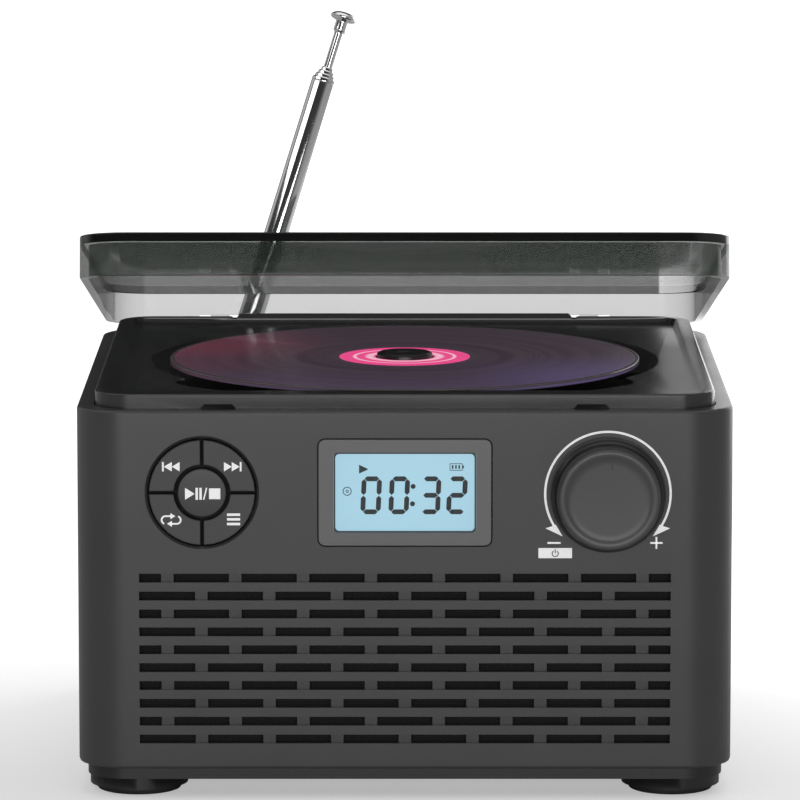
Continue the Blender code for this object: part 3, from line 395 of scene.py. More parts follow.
def metal(name, colour, roughness, grain=0.0009):
    """Plated or turned metal with a fine even grain."""
    made = Finish(name, colour, roughness, 1.0)
    fine, wide = made.noise(grain, 4.0), made.noise(0.008, 3.0)
    made.set("Roughness", fine * 0.10 + wide * 0.08 + roughness - 0.09)
    made.set("Base Color", made.blend(wide, tuple(c * 0.86 for c in colour), colour))
    return made.relief(fine, 0.000006, 0.35)


chrome = drawn_chrome()
steel = metal("plated_steel", (0.56, 0.56, 0.57), 0.30)
brass = metal("turned_brass", (0.70, 0.50, 0.22), 0.32)
print("metals ready")

# %% [markdown]
# ## Surfaces from numbers
#
# New pieces are surfaces worked out as whole arrays. `grid_faces` joins a grid of points into
# four-sided faces, and `into_piece` makes them an object. `turned` carries a profile round an
# axis, as a lathe does: the point of height h and radius r at angle a stands at r times
# (cos a, sin a), h along the axis. `eased_profile` rounds each corner of a profile with a short
# parabola between the two sides that meet there.

# %% Surface helpers


def into_piece(name, points, faces, finish, body, smooth):
    """A mesh object from arrays, its doubles merged and its faces turned outwards."""
    mesh = bpy.data.meshes.new(name)
    mesh.from_pydata(np.asarray(points).reshape(-1, 3).tolist(), [], np.asarray(faces).tolist())
    work = bmesh.new()
    work.from_mesh(mesh)
    bmesh.ops.remove_doubles(work, verts=work.verts, dist=1e-6)
    bmesh.ops.dissolve_degenerate(work, edges=work.edges, dist=1e-7)
    bmesh.ops.recalc_face_normals(work, faces=work.faces)
    work.to_mesh(mesh)
    work.free()
    mesh.shade_smooth()
    mesh.set_sharp_from_angle(angle=math.radians(smooth))
    mesh.materials.append(finish.material)
    made = bpy.data.objects.new(name, mesh)
    bpy.context.scene.collection.objects.link(made)
    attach(made, body)
    return made


def grid_faces(rows, columns, closed=True):
    """Corner numbers of the faces of a grid of points, its last column joined to its first."""
    index = np.arange(rows * columns).reshape(rows, columns)
    above, below = index[:-1], index[1:]
    quads = np.stack([above, np.roll(above, -1, 1), np.roll(below, -1, 1), below], axis=-1)
    if not closed:
        quads = quads[:, :-1]
    return quads.reshape(-1, 4)


def eased_profile(corners, ease, steps=4):
    """A polyline whose inner corners become parabolas that start ease before the corner."""
    corners = np.asarray(corners, float)
    start, corner, end = corners[:-2], corners[1:-1], corners[2:]
    ease = np.broadcast_to(np.asarray(ease, float), (len(corner),))[:, None]
    back, on = start - corner, end - corner
    back_length = np.linalg.norm(back, axis=1, keepdims=True)
    on_length = np.linalg.norm(on, axis=1, keepdims=True)
    first = corner + back / back_length * np.minimum(ease, back_length * 0.45)
    last = corner + on / on_length * np.minimum(ease, on_length * 0.45)
    t = np.linspace(0, 1, steps + 1)[None, :, None]
    bend = (1 - t) ** 2 * first[:, None] + 2 * t * (1 - t) * corner[:, None] + t**2 * last[:, None]
    return np.concatenate([corners[:1], bend.reshape(-1, 2), corners[-1:]])


def turned(name, profile, centre, axis, finish, body, slot=None, steps=96, smooth=40, replaces=()):
    """A lathe piece: radius times (cosine, sine) across the axis, and height along it."""
    profile = np.asarray(profile, float)
    axis = Vector(axis).normalized()
    side = axis.orthogonal().normalized()
    other = axis.cross(side)
    angle = np.linspace(0, 2 * np.pi, steps, endpoint=False)
    ring = np.cos(angle)[:, None] * np.array(side) + np.sin(angle)[:, None] * np.array(other)
    points = np.array(centre) + profile[:, None, :1] * ring + profile[:, None, 1:] * np.array(axis)
    made = into_piece(name, points, grid_faces(len(profile), steps), finish, body, smooth)
    if replaces:
        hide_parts(*replaces)
    return made


print("surface helpers ready")

# %% [markdown]
# ## Easing the solids' edges
#
# A moulded part has no knife edge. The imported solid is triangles, so a copy of it is merged, its
# flat faces are joined up again, and a narrow Bevel rounds what is sharp. Weighted normals keep
# the wide flat faces flat in the light and let the rounded corners flow. The solid itself stays
# as it is, behind its copy, for collision.

# %% Eased copies


def eased_copy(node, finish, ease=0.0, segments=2, smooth=38):
    """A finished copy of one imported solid, which stands for it."""
    mesh = frame["nodes"][node].data.copy()
    mesh.name = f"{node}_finished"
    work = bmesh.new()
    work.from_mesh(mesh)
    bmesh.ops.remove_doubles(work, verts=work.verts, dist=2e-6)
    flat = math.radians(0.6)
    bmesh.ops.dissolve_limit(work, angle_limit=flat, verts=work.verts, edges=work.edges)
    work.to_mesh(mesh)
    work.free()
    mesh.shade_smooth()
    mesh.set_sharp_from_angle(angle=math.radians(smooth))
    mesh.materials.clear()
    mesh.materials.append(finish.material)
    made = bpy.data.objects.new(f"{node}_finished", mesh)
    bpy.context.scene.collection.objects.link(made)
    if ease:
        bevel = made.modifiers.new("eased_edges", "BEVEL")
        bevel.width, bevel.segments, bevel.limit_method = ease, segments, "ANGLE"
        bevel.angle_limit = math.radians(smooth)
        bevel.use_clamp_overlap = True
    weighted = made.modifiers.new("flat_faces_flat", "WEIGHTED_NORMAL")
    weighted.keep_sharp, weighted.weight = True, 90
    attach(made, BODY_OF[node])
    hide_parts(node)
    return made


OUTSIDE = {
    "main_shell": case_grey, "top_deck": deck_black, "base_plate": base_black,
    "rear_panel": case_grey, "display_bezel": bezel_grey, "antenna_base": inner_black,
}
for node, finish in OUTSIDE.items():
    print(node, "faces:", len(eased_copy(node, finish).data.polygons))

# %% [markdown]
# ## The lid
#
# One copy of the lid gets two finishes: the smoked plastic, and the plate's dark edge. The walls
# are cut at the level of the plate's underside, so that the edge is a band of faces. Each face is
# then sorted by its height over the hinge and by where its normal points, both measured in the
# shut lid's own directions: turning the solid back by twelve degrees about the hinge shuts it.

# %% Sort the lid's faces
LID_TURN = math.radians(12)
PLATE_LOW, HAIR = 8.6 * MM, 0.02 * MM
hinge = Vector(joint("lid_hinge")["pos_m"])
TO_LID = Matrix.Rotation(LID_TURN, 4, "X") @ Matrix.Translation(-hinge)
lid = eased_copy("lid", lid_smoke)
lid.data.materials.append(lid_edge.material)
work = bmesh.new()
work.from_mesh(lid.data)
level = TO_LID.inverted() @ Vector((0, 0, PLATE_LOW + HAIR))
upwards = TO_LID.inverted().to_3x3() @ Vector((0, 0, 1))
everything = list(work.verts) + list(work.edges) + list(work.faces)
bmesh.ops.bisect_plane(work, geom=everything, plane_co=level, plane_no=upwards, dist=1e-7)
work.to_mesh(lid.data)
work.free()
count = len(lid.data.polygons)
centres, normals = np.empty(count * 3), np.empty(count * 3)
lid.data.polygons.foreach_get("center", centres)
lid.data.polygons.foreach_get("normal", normals)
to_lid = np.array(TO_LID)
heights = (centres.reshape(-1, 3) @ to_lid[:3, :3].T + to_lid[:3, 3])[:, 2]
flatness = np.abs((normals.reshape(-1, 3) @ to_lid[:3, :3].T)[:, 2])
edge = (flatness < 0.9) & (heights > PLATE_LOW)
lid.data.polygons.foreach_set("material_index", edge.astype(np.int32))
lid.data.update()
print("lid faces:", int((~edge).sum()), "smoked and", int(edge.sum()), "on the dark edge")

# %% [markdown]
# ## Buttons
#
# The four outer buttons are quarters of a ring, with the round play button in the middle. Their
# edges are rounded by about a fifth of a millimetre, which catches the light along the gaps.
# The play button is turned afresh, so that its rounded rim follows a true circle.

# %% Buttons
for name in ("previous", "next", "repeat", "mode"):
    eased_copy(f"{name}_button", key_grey, ease=0.00022, segments=3, smooth=25)
play_low, play_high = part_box("play_button")
play_radius = (play_high[0] - play_low[0]) / 2
play_profile = eased_profile(
    [(0, play_low[1]), (play_radius, play_low[1]), (play_radius, play_high[1]), (0, play_high[1])],
    [0.0003, 0.0002],
)
turned(
    "play_button_top", play_profile, (KEYS.x, 0, KEYS.z), (0, 1, 0), key_grey, "play_key",
    replaces=("play_button",),
)
print("play button", round(play_radius * 2 / MM, 2), "mm across")

# %% [markdown]
# ## The volume knob
#
# A lathe piece: a thin flange against the case, a barely tapered grip, a rounded rim and a
# shallow dish. The grip's colour is darkened over the first millimetre and a half behind the rim:
# this is painted shade on the knob's side. A short line printed in the dish marks the setting.

# %% Knob
knob_low, knob_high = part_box("volume_knob")
flange = (knob_high[0] - knob_low[0]) / 2
face, rear_edge = knob_low[1], knob_high[1]
knob_profile = eased_profile(
    [
        # the dish and the rim
        (0, face + 0.00060), (0.0096, face + 0.00052), (0.0110, face), (0.01215, face + 0.0001),
        # the grip and the flange
        (0.0125, face + 0.0012), (0.0128, rear_edge - 0.0036), (0.0132, rear_edge - 0.0030),
        (flange, rear_edge - 0.0026), (flange, rear_edge), (0.0129, rear_edge),
        # the hollow behind
        (0.0125, rear_edge - 0.0020), (0.0036, rear_edge - 0.0020), (0.0034, face + 0.0028),
        (0, face + 0.0028),
    ],
    [0.0012, 0.0007, 0.0005, 0.0006, 0.001, 0.0003, 0.0002, 0.0002, 0.0002, 0.0002, 0.0002, 0.0001],
    steps=5,
)
# The grip's darker colour is painted shade on the knob's side.
GRIP_PAINTED_SHADE = (0.012, 0.012, 0.012)
behind_face = knob_grey.axes(knob_grey.place(shift=(0, -face, 0)))[1]
satin = knob_grey.shader.inputs["Base Color"].links[0].from_socket
knob_grey.set("Base Color", knob_grey.blend(behind_face.eased(0.0005, 0.0015), satin, GRIP_PAINTED_SHADE))
turned(
    "knob_body", knob_profile, (KNOB.x, 0, KNOB.z), (0, 1, 0), knob_grey, "volume_control",
    steps=144, replaces=("volume_knob",), smooth=50,
)
print("knob", round(flange * 2 / MM, 1), "mm across,", round((rear_edge - face) / MM, 1), "mm deep")

# %% [markdown]
# ## Printed signs
#
# Pad printing lays down ink about three hundredths of a millimetre thick. Each sign is a set of
# flat outlines in millimetres about its button's or the knob's centre. `band` widens a path into
# an outline: each point moves half the width along the path's normal, to either side.

# %% Ink and outlines
INK = 0.03 * MM


def flecked(name, thin, full, size=0.0004, roughness=0.5, detail=2.0, **constants):
    """Ink or film whose colour runs between two tones in flecks of the given size."""
    made = Finish(name, full, roughness, **constants)
    made.set("Base Color", made.blend(made.noise(size, detail), thin, full))
    return made


# The white ink gives off a faint grey light of its own: painted light that keeps the signs bright.
INK_PAINTED_GLOW = {"Emission_Color": (0.26, 0.26, 0.26, 1), "Emission_Strength": 1.0}
ink = flecked("white_ink", (0.78, 0.78, 0.77), (0.88, 0.88, 0.87), roughness=0.55, **INK_PAINTED_GLOW)
dark_ink = flecked("grey_ink", (0.024, 0.024, 0.024), (0.036, 0.036, 0.036))


def arc(centre, radius, start, end, steps=48):
    """Points at radius times (cosine, sine) of angles in degrees, about the centre."""
    angle = np.radians(np.linspace(start, end, steps + 1))
    return np.asarray(centre) + radius * np.stack([np.cos(angle), np.sin(angle)], axis=1)


def band(path, width):
    """A stripe's outline: the path moved half the width along its normal, then back likewise."""
    path = np.asarray(path, float)
    along = np.gradient(path, axis=0)
    across = np.stack([-along[:, 1], along[:, 0]], axis=1) / np.linalg.norm(along, axis=1)[:, None]
    return np.concatenate([path + across * width / 2, (path - across * width / 2)[::-1]])


def rectangle(low, high):
    """The outline of an upright rectangle from two corners."""
    return np.array([low, (high[0], low[1]), high, (low[0], high[1])], float)


print("ink is", round(INK / MM, 3), "mm thick")

# %% Printing


def printed(name, outlines, centre, depth, finish, body, thick=INK):
    """Flat outlines, in millimetres about centre, facing the front at y = depth."""
    flat = np.concatenate([np.asarray(o, float) for o in outlines]) * MM
    x, z = flat.T
    points = np.stack([x + centre[0], np.full(len(flat), depth), z + centre[1]], 1)
    starts = np.cumsum([0] + [len(o) for o in outlines])
    faces = [list(range(a, b)) for a, b in zip(starts[:-1], starts[1:])]
    mesh = bpy.data.meshes.new(name)
    mesh.from_pydata(points.tolist(), [], faces)
    work = bmesh.new()
    work.from_mesh(mesh)
    work.normal_update()
    bmesh.ops.reverse_faces(work, faces=[f for f in work.faces if f.normal.y > 0])
    bmesh.ops.triangulate(work, faces=work.faces)
    work.to_mesh(mesh)
    work.free()
    mesh.materials.append(finish.material)
    made = bpy.data.objects.new(name, mesh)
    bpy.context.scene.collection.objects.link(made)
    solid = made.modifiers.new("ink_thickness", "SOLIDIFY")
    solid.thickness, solid.offset = thick, 1.0
    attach(made, body)
    return made


key_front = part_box("next_button")[0][1]
print("outer buttons' faces at", round(key_front / MM, 2), "mm")

# %% [markdown]
# The signs are the ones every player has: two triangles against a bar to skip, a triangle with
# two bars and a square to play, pause or stop, two hooked arrows to repeat, and three bars for
# the menu. The skip back sign is the skip sign mirrored.

# %% Signs on the buttons
at_keys = (KEYS.x, KEYS.z)


def key_sign(key, outlines, depth=key_front):
    """A sign in white ink that rides on its button."""
    printed(f"{key}_sign", outlines, at_keys, depth, ink, f"{key}_key")


skip = [
    rectangle((5.4 + 3.85, 5.3), (9.7, 7.6)),
    np.array([(5.4, 5.3), (7.3, 6.45), (5.4, 7.6)]),
    np.array([(7.3, 5.3), (9.25, 6.45), (7.3, 7.6)]),
]
key_sign("next", skip)
key_sign("previous", [o * (-1, 1) for o in skip])
play = [
    np.array([(-4.1, -1.65), (-1.75, -0.2), (-4.1, 1.3)]),
    rectangle((-1.55, -1.65), (-0.95, 1.3)),
    rectangle((-0.6, -1.65), (0.0, 1.3)),
    np.array([(0.25, -1.65), (0.6, -1.65), (1.35, 1.3), (1.0, 1.3)]),
    rectangle((1.75, -1.5), (4.5, 1.15)),
]
key_sign("play", play, play_low[1])
left_loop = np.concatenate([arc((-8.9, -6.7), 0.95, 250, 90, 20), [(-7.5, -5.75)]])
right_loop = np.concatenate([arc((-6.15, -6.7), 0.95, 70, -90, 20), [(-7.55, -7.65)]])
repeat = [
    band(left_loop, 0.42), band(right_loop, 0.42),
    np.array([(-7.7, -5.0), (-6.5, -5.75), (-7.7, -6.5)]),
    np.array([(-7.35, -6.9), (-7.35, -8.4), (-8.55, -7.65)]),
]
key_sign("repeat", repeat)
menu = [rectangle((6.1, z), (9.3, z + 0.62)) for z in (-8.0, -6.85, -5.7)]
printed("menu_sign", menu, at_keys, key_front, ink, "mode_key")
print("five button signs")

# %% [markdown]
# The ring round the knob is one long band with an arrowhead at each end. A minus, a plus and a
# small plate with the usual on and off symbol say what turning it does.

# %% Signs round the knob
at_knob = (KNOB.x, KNOB.z)
MARK_DEPTH = 0.48 * MM
mark = [rectangle((0.55, 7.4), (0.85, 9.4))]
printed("knob_line", mark, at_knob, face + MARK_DEPTH, dark_ink, "volume_control")
head = np.array([(11.0, -10.5), (15.2, -8.5), (13.6, -8.0), (12.7, -7.6)])
ON_CASE = {
    "knob_ring": [band(arc((0, 0), 15.3, -31, 211, 140), 0.55), head, head * (-1, 1)],
    "knob_minus": [rectangle((-14.7, -12.35), (-11.5, -11.9))],
    "knob_plus": [
        rectangle((10.4, -12.35), (13.4, -11.9)), rectangle((11.68, -13.6), (12.12, -10.65)),
    ],
    "power_plate": [rectangle((-16.9, -15.9), (-8.7, -13.4))],
}
for name, outlines in ON_CASE.items():
    printed(name, outlines, at_knob, FRONT, ink, "case")
open_ring = band(arc((-12.8, -14.75), 0.75, 125, 415, 40), 0.24)
power = [open_ring, rectangle((-12.92, -14.7), (-12.68, -13.65))]
printed("power_symbol", power, at_knob, FRONT - INK, dark_ink, "case")
print("knob signs")

# %% [markdown]
# ## The display
#
# A backlit liquid-crystal panel: pale blue light behind dark segments. The light falls off a
# little from the middle outwards, with the square of the distance, and the panel shows a very
# fine weave of its polariser, a product of two sines.

# %% Display finishes
panel = middle("lcd_panel")
WEAVE = 9000
EDGE_BLUE, MIDDLE_BLUE = (0.24, 0.44, 0.55), (0.375, 0.625, 0.755)
lcd_blue = Finish("display_blue", (0.04, 0.07, 0.08), 0.35)
px, _, pz = lcd_blue.axes(lcd_blue.place(shift=(-panel.x, 0, -panel.z)))
glow = 1 - (px * px + pz * pz * 1.6) * 380
weave = ((px * WEAVE).sine() * (pz * WEAVE).sine()) * 0.015
lcd_blue.set("Emission Color", lcd_blue.blend(glow + weave, EDGE_BLUE, MIDDLE_BLUE))
lcd_blue.set("Emission Strength", 1.0)
BAR_THIN, BAR_FULL = (0.010, 0.016, 0.020), (0.015, 0.022, 0.026)
lcd_dark = flecked("display_segments", BAR_THIN, BAR_FULL, 0.002, 0.4, 3.0)
window_clear = Finish("window_clear", (0.03, 0.04, 0.05), 0.04)
window_clear.set("Alpha", window_clear.noise(0.006) * 0.01 + 0.03)
frame["nodes"]["lcd_panel"].data.materials[0] = lcd_blue.material
frame["nodes"]["display_window"].data.materials[0] = window_clear.material
print("display finishes ready")

# %% [markdown]
# The digits are bars with pointed ends on a thin film just in front of the panel. Each digit has
# six joints, at its corners and halfway up, and a bar runs from joint to joint, short of both by
# a small gap. The digits lean: every point moves to the right in proportion to its height.

# %% Digits
SEGMENTS = {"0": "abcdef", "3": "abcdg", "2": "abged"}
LEAN, DIGIT_WIDTH, DIGIT_LOW, DIGIT_HIGH = 0.045, 5.0, -5.65, 3.75
BAR, BAR_GAP = 1.24, 0.09


def digit(sign, left):
    """A seven-bar digit: bars with pointed ends between six joints, leaning to the right."""
    half, centre = BAR / 2, (DIGIT_LOW + DIGIT_HIGH) / 2
    x0, x1 = left + half, left + DIGIT_WIDTH - half
    z0, z1 = DIGIT_LOW + half, DIGIT_HIGH - half
    ends = {
        "a": ((x0, z1), (x1, z1)), "d": ((x0, z0), (x1, z0)), "g": ((x0, centre), (x1, centre)),
        "f": ((x0, centre), (x0, z1)), "b": ((x1, centre), (x1, z1)),
        "e": ((x0, z0), (x0, centre)), "c": ((x1, z0), (x1, centre)),
    }
    bars = []
    for name in SEGMENTS[sign]:
        start, end = (np.array(p) for p in ends[name])
        along = (end - start) / np.linalg.norm(end - start)
        across = np.array([-along[1], along[0]])
        a, b = start + along * BAR_GAP, end - along * BAR_GAP
        inner = half * 0.97
        bar = np.array([a, a + (along + across) * inner, b + (across - along) * inner, b,
                        b - (along + across) * inner, a + (along - across) * inner])
        bar[:, 0] += (bar[:, 1] - DIGIT_LOW) * LEAN
        bars.append(bar)
    return bars


signs = []
for sign, left in zip("0032", (-10.95, -4.1, 3.55, 10.0)):
    signs += digit(sign, left)
print("digits:", len(signs), "bars")

# %% Small signs and the segment film
FILM_GAP, FILM = 0.05 * MM, 0.04 * MM
at_panel = (panel.x, panel.z)
# the colon and the play triangle
signs += [arc((2.0, 1.25), 0.62, 0, 345, 14), arc((1.85, -3.05), 0.62, 0, 345, 14)]
signs.append(np.array([(-11.2, 4.4), (-8.9, 5.5), (-11.2, 6.6)]))
# the battery: four sides, a tip and three bars of charge
outline = rectangle((11.0, 5.25), (14.0, 6.85))
signs += [band(outline[pair], 0.16) for pair in ([0, 1], [3, 2], [0, 3], [1, 2])]
signs.append(rectangle((14.1, 5.7), (14.4, 6.4)))
signs += [rectangle((11.45 + 0.8 * i, 5.6), (11.85 + 0.8 * i, 6.5)) for i in range(3)]
# the disc
signs.append(band(arc((-14.1, 0.05), 1.0, 0, 360, 40), 0.2))
signs.append(band(arc((-14.1, 0.05), 0.3, 0, 360, 20), 0.18))
film_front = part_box("lcd_panel")[0][1] - FILM_GAP
printed("display_signs", signs, at_panel, film_front, lcd_dark, "case", FILM)
print("display signs:", len(signs))

# %% [markdown]
# A dark border is printed round the edge of the clear window, out to the bezel's opening. It is
# a band between two rectangles with round corners, and it hides the panel's own edge.

# %% Window border
glass_low, glass_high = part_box("display_window")
half_x, half_z = (glass_high[0] - glass_low[0]) / 2 / MM, (glass_high[2] - glass_low[2]) / 2 / MM


def rounded(half_wide, half_high, corner):
    """The outline of a rectangle with round corners, as four arcs."""
    x, z = half_wide - corner, half_high - corner
    centres = [(x, z), (-x, z), (-x, -z), (x, -z)]
    return np.concatenate([arc(c, corner, 90 * i, 90 * i + 90, 8) for i, c in enumerate(centres)])


outside = rounded(half_x + 0.25, half_z + 0.25, 0.9)
inside = rounded(half_x - 0.12, half_z - 0.12, 1.0)
ring = np.concatenate([outside, outside[:1], inside[:1], inside[::-1]])
border = flecked("display_border", (0.018, 0.025, 0.030), (0.026, 0.034, 0.040), 0.002, 0.35, 3.0)
printed("window_border", [ring], at_panel, glass_low[1], border, "case")
print("window border round", round(half_x * 2, 1), "by", round(half_z * 2, 1), "mm")

# %% [markdown]
# ## The disc
#
# A compact disc is a clear plate over a mirror with a spiral of pits. The pits act as a grating,
# so light comes back coloured, in wedges that fan out from the centre. The wedges, and a pale
# streak in the rose one, are a painted reflection: a colour that changes with the angle round the
# disc. The tracks are fine rings: the angle comes from an arctangent of the place on the disc, and
# the ring from its radius.

# %% Disc finish
ROSE, VIOLET, PLUM = (0.80, 0.18, 0.31), (0.50, 0.38, 0.86), (0.22, 0.145, 0.21)
PALE_PLUM, PALE_ROSE, GROOVE = (0.34, 0.235, 0.33), (1.0, 0.45, 0.62), (0.075, 0.050, 0.075)
RING_RATE = 9000


def radial(made):
    """The angle round the disc, by arctangent, and the distance from its centre."""
    x, y, _ = made.axes(made.place(shift=(-DISC.x, -DISC.y, 0)))
    return x.maths("ARCTAN2", y, x), (x * x + y * y) ** 0.5


def disc_finish():
    """A wedge of painted reflection is 1 at its own angle and falls to 0 either side of it, and
    grows outwards.
    """
    made = Finish("disc_foil", PLUM, 0.30, 0.2, Coat_Roughness=0.10)
    angle, radius = radial(made)
    rings = (radius * RING_RATE).sine() * 0.5 + 0.5
    tracks = made.noise(0.0006, 2.0, made.along(radius))
    zones = made.noise(0.004, 2.0, made.along(radius, 0.3))
    outwards = radius.eased(0.015, 0.058)
    # The rose and violet wedges and the pale streak are painted reflection of the disc's rainbow.
    rose = (1 - abs(angle - 2.62).eased(0.05, 0.75)) * outwards
    rose_left = (1 - (math.pi - abs(angle)).eased(0.1, 0.9)) * outwards * 0.6
    violet = (1 - abs(angle + 0.62).eased(0.05, 0.80)) * outwards
    violet_low = (1 - abs(angle + 1.7).eased(0.2, 1.3)) * outwards * 0.4
    painted_glint = (1 - abs(angle - 2.45).eased(0.0, 0.10)) * radius.eased(0.025, 0.055) * 0.5
    base = made.blend(zones.eased(0.35, 0.65), PLUM, PALE_PLUM)
    base = made.blend(rose * 0.65 + rose_left * 0.5, base, ROSE)
    base = made.blend(violet * 0.75 + violet_low * 0.6, base, VIOLET)
    base = made.blend(painted_glint, base, PALE_ROSE)
    made.set("Base Color", made.blend(rings * 0.22 + (tracks > 0.60) * 0.28, base, GROOVE))
    made.set("Roughness", tracks * 0.12 + 0.24)
    made.set("Coat Weight", tracks * 0.06 + 0.10)
    return made.relief(rings + tracks, 0.000005, 0.4)


foil = disc_finish()
rim_clear = Finish("disc_rim", (0.16, 0.13, 0.15), 0.18)
rim_clear.set("Roughness", rim_clear.noise(0.004) * 0.12 + 0.12)
print("disc finish ready")

# %% [markdown]
# The disc itself is turned. Its top steps down by a hair at the rim, where the foil stops, and
# the clear rim is a thin band of its own.

# %% Disc
disc_low, disc_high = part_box("disc")
TOP, UNDER, OUT = disc_high[2], disc_low[2], (disc_high[0] - disc_low[0]) / 2
HOLE = 7.5 * MM
UPRIGHT = ((DISC.x, DISC.y, 0), (0, 0, 1))
disc_profile = eased_profile(
    [(HOLE, TOP - 0.00002), (OUT - 0.0011, TOP - 0.00002), (OUT - 0.0009, TOP - 0.0001),
     (OUT, TOP - 0.0001), (OUT, UNDER), (HOLE, UNDER), (HOLE, TOP - 0.00002)],
    [0.0001, 0.0001, 0.0002, 0.0002, 0.0001],
)
turned(
    "disc_body", disc_profile, *UPRIGHT, foil, "loose_disc", "disc_foil", 192, replaces=("disc",),
)
rim_profile = eased_profile(
    [(OUT - 0.00105, TOP + 0.00001), (OUT - 0.00015, TOP + 0.00001), (OUT + 0.00002, TOP - 0.0002),
     (OUT + 0.00002, TOP - 0.0005), (OUT - 0.00105, TOP - 0.0005), (OUT - 0.00105, TOP + 0.00001)],
    0.0001,
)
turned("disc_rim_band", rim_profile, *UPRIGHT, rim_clear, "loose_disc", "disc_foil", 192)
print("disc", round(OUT * 2 / MM, 1), "mm across")

# %% [markdown]
# The label is a ring round the hub, printed in pink with two lighter rings. Each light ring is 1
# at its own radius and falls off to either side. The label also glows pink, brighter on the light
# rings: painted light that keeps it bright in the lid's shade.

# %% Label
LABEL_OUT, LABEL_THICK = 16.7 * MM, 0.04 * MM
label = Finish("disc_label", (0.80, 0.10, 0.28), 0.35, Coat_Roughness=0.05)
_, from_centre = radial(label)
outer_ring = 1 - abs(from_centre - 0.0128).eased(0.0002, 0.0007)
inner_ring = 1 - abs(from_centre - 0.0090).eased(0.0004, 0.0016)
light_ring = outer_ring + inner_ring
pink = label.blend(light_ring, (0.83, 0.075, 0.25), (0.95, 0.55, 0.66))
label.set("Base Color", label.blend(label.noise(0.003) * 0.3, pink, (0.95, 0.30, 0.45)))
# The emission is painted light: it keeps the label bright in the lid's shade.
label.set("Emission Color", label.blend(light_ring, (0.72, 0.050, 0.22), (0.78, 0.42, 0.52)))
label.set("Emission Strength", 1.25)
label.set("Coat Weight", label.noise(0.01) * 0.2 + 0.5)
label_in, label_top = HOLE + 0.1 * MM, TOP + LABEL_THICK
label_profile = [
    (label_in, TOP), (LABEL_OUT, TOP), (LABEL_OUT, label_top), (label_in, label_top),
    (label_in, TOP),
]
turned("label_ring", label_profile, *UPRIGHT, label, "loose_disc", "disc_foil", 128)
print("label", round(LABEL_OUT * 2 / MM, 1), "mm across")

# %% [markdown]
# ## Hub
#
# The hub's cap is a low black drum with a flat top, a small dimple and a rounded edge, which
# centres the disc. Under the disc it widens into the turntable, and below that it narrows to a
# thin shaft. Only the drum's top shows over the label.

# %% Hub
hub_low, hub_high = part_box("spindle_hub")
seat = UNDER - 0.0003
hub_profile = eased_profile(
    [
        (0, hub_high[2] - 0.0003), (0.0012, hub_high[2] - 0.0003), (0.0016, hub_high[2]),
        (0.0064, hub_high[2]), (0.0071, hub_high[2] - 0.0004), (0.0072, seat), (0.0150, seat),
        (0.0150, seat - 0.0012), (0.0030, seat - 0.0012), (0.0010, seat - 0.0040),
        (0.0010, hub_low[2]), (0, hub_low[2]),
    ],
    [0.0002, 0.0002, 0.0004, 0.0003, 0.0002, 0.0003, 0.0003, 0.0003, 0.0003, 0.0002],
)
hub_black = moulded("hub_black", (0.010, 0.010, 0.010), 0.34, grain=0.0003)
turned(
    "hub_cap", hub_profile, *UPRIGHT, hub_black, "turntable", "black_plastic",
    replaces=("spindle_hub",),
)
print("hub top at", round(hub_high[2] / MM, 2), "mm")

# %% [markdown]
# ## The antenna
#
# Four tubes slide in one another, and a thin rod slides in the last. Each tube's mouth is rolled
# in a little, with a fine groove behind it. They are all turned about the mast's own line, which
# leans to the right, so the same lathe does them with a slanting axis.

# %% Antenna
# body, outer radius, inner radius, lower end and upper end in millimetres from the tilt pin
TUBES = [
    ("antenna_mast", 3.35, 3.05, 7.5, 87.9),
    ("antenna_section_2", 2.85, 2.5, 14.5, 88.9),
    ("antenna_section_3", 2.3, 1.95, 16.0, 89.9),
    ("antenna_section_4", 1.75, 1.45, 17.5, 90.9),
]
for number, (body, outer, inner, low, high) in enumerate(TUBES, 1):
    profile = np.array([
        (inner, high), (outer - 0.22, high), (outer, high - 0.3), (outer, high - 1.1),
        (outer - 0.06, high - 1.25), (outer, high - 1.4), (outer, low), (inner, low), (inner, high),
    ]) * MM
    turned(
        f"mast_tube_{number}", eased_profile(profile, 0.00008, 3), MAST_FOOT, mast, chrome, body,
        "chrome", 64, replaces=(f"antenna_tube_{number}",),
    )
rod = np.array([
    (0, 106.8), (2.0, 106.6), (3.2, 106.0), (3.6, 105.3), (3.4, 104.7), (2.6, 104.4),
    (1.75, 104.2), (1.75, 101.4), (1.25, 101.0), (1.25, 22.5), (0, 22.5),
]) * MM
rod_ease = [0.0006, 0.0005, 0.0005, 0.0004, 0.0004, 0.0003, 0.0003, 0.0003, 0.0001]
turned(
    "mast_rod", eased_profile(rod, rod_ease), MAST_FOOT, mast, chrome, "antenna_tip", "chrome", 64,
    replaces=("antenna_rod",),
)
eased_copy("antenna_knuckle", chrome, ease=0.00015)
print("mast leans", round(math.degrees(math.atan2(mast.x, mast.z)), 1), "degrees to the right")

# %% [markdown]
# ## Feet
#
# Soft rubber pads under the moulded feet, with a slightly rounded lower edge and a matt bloom.

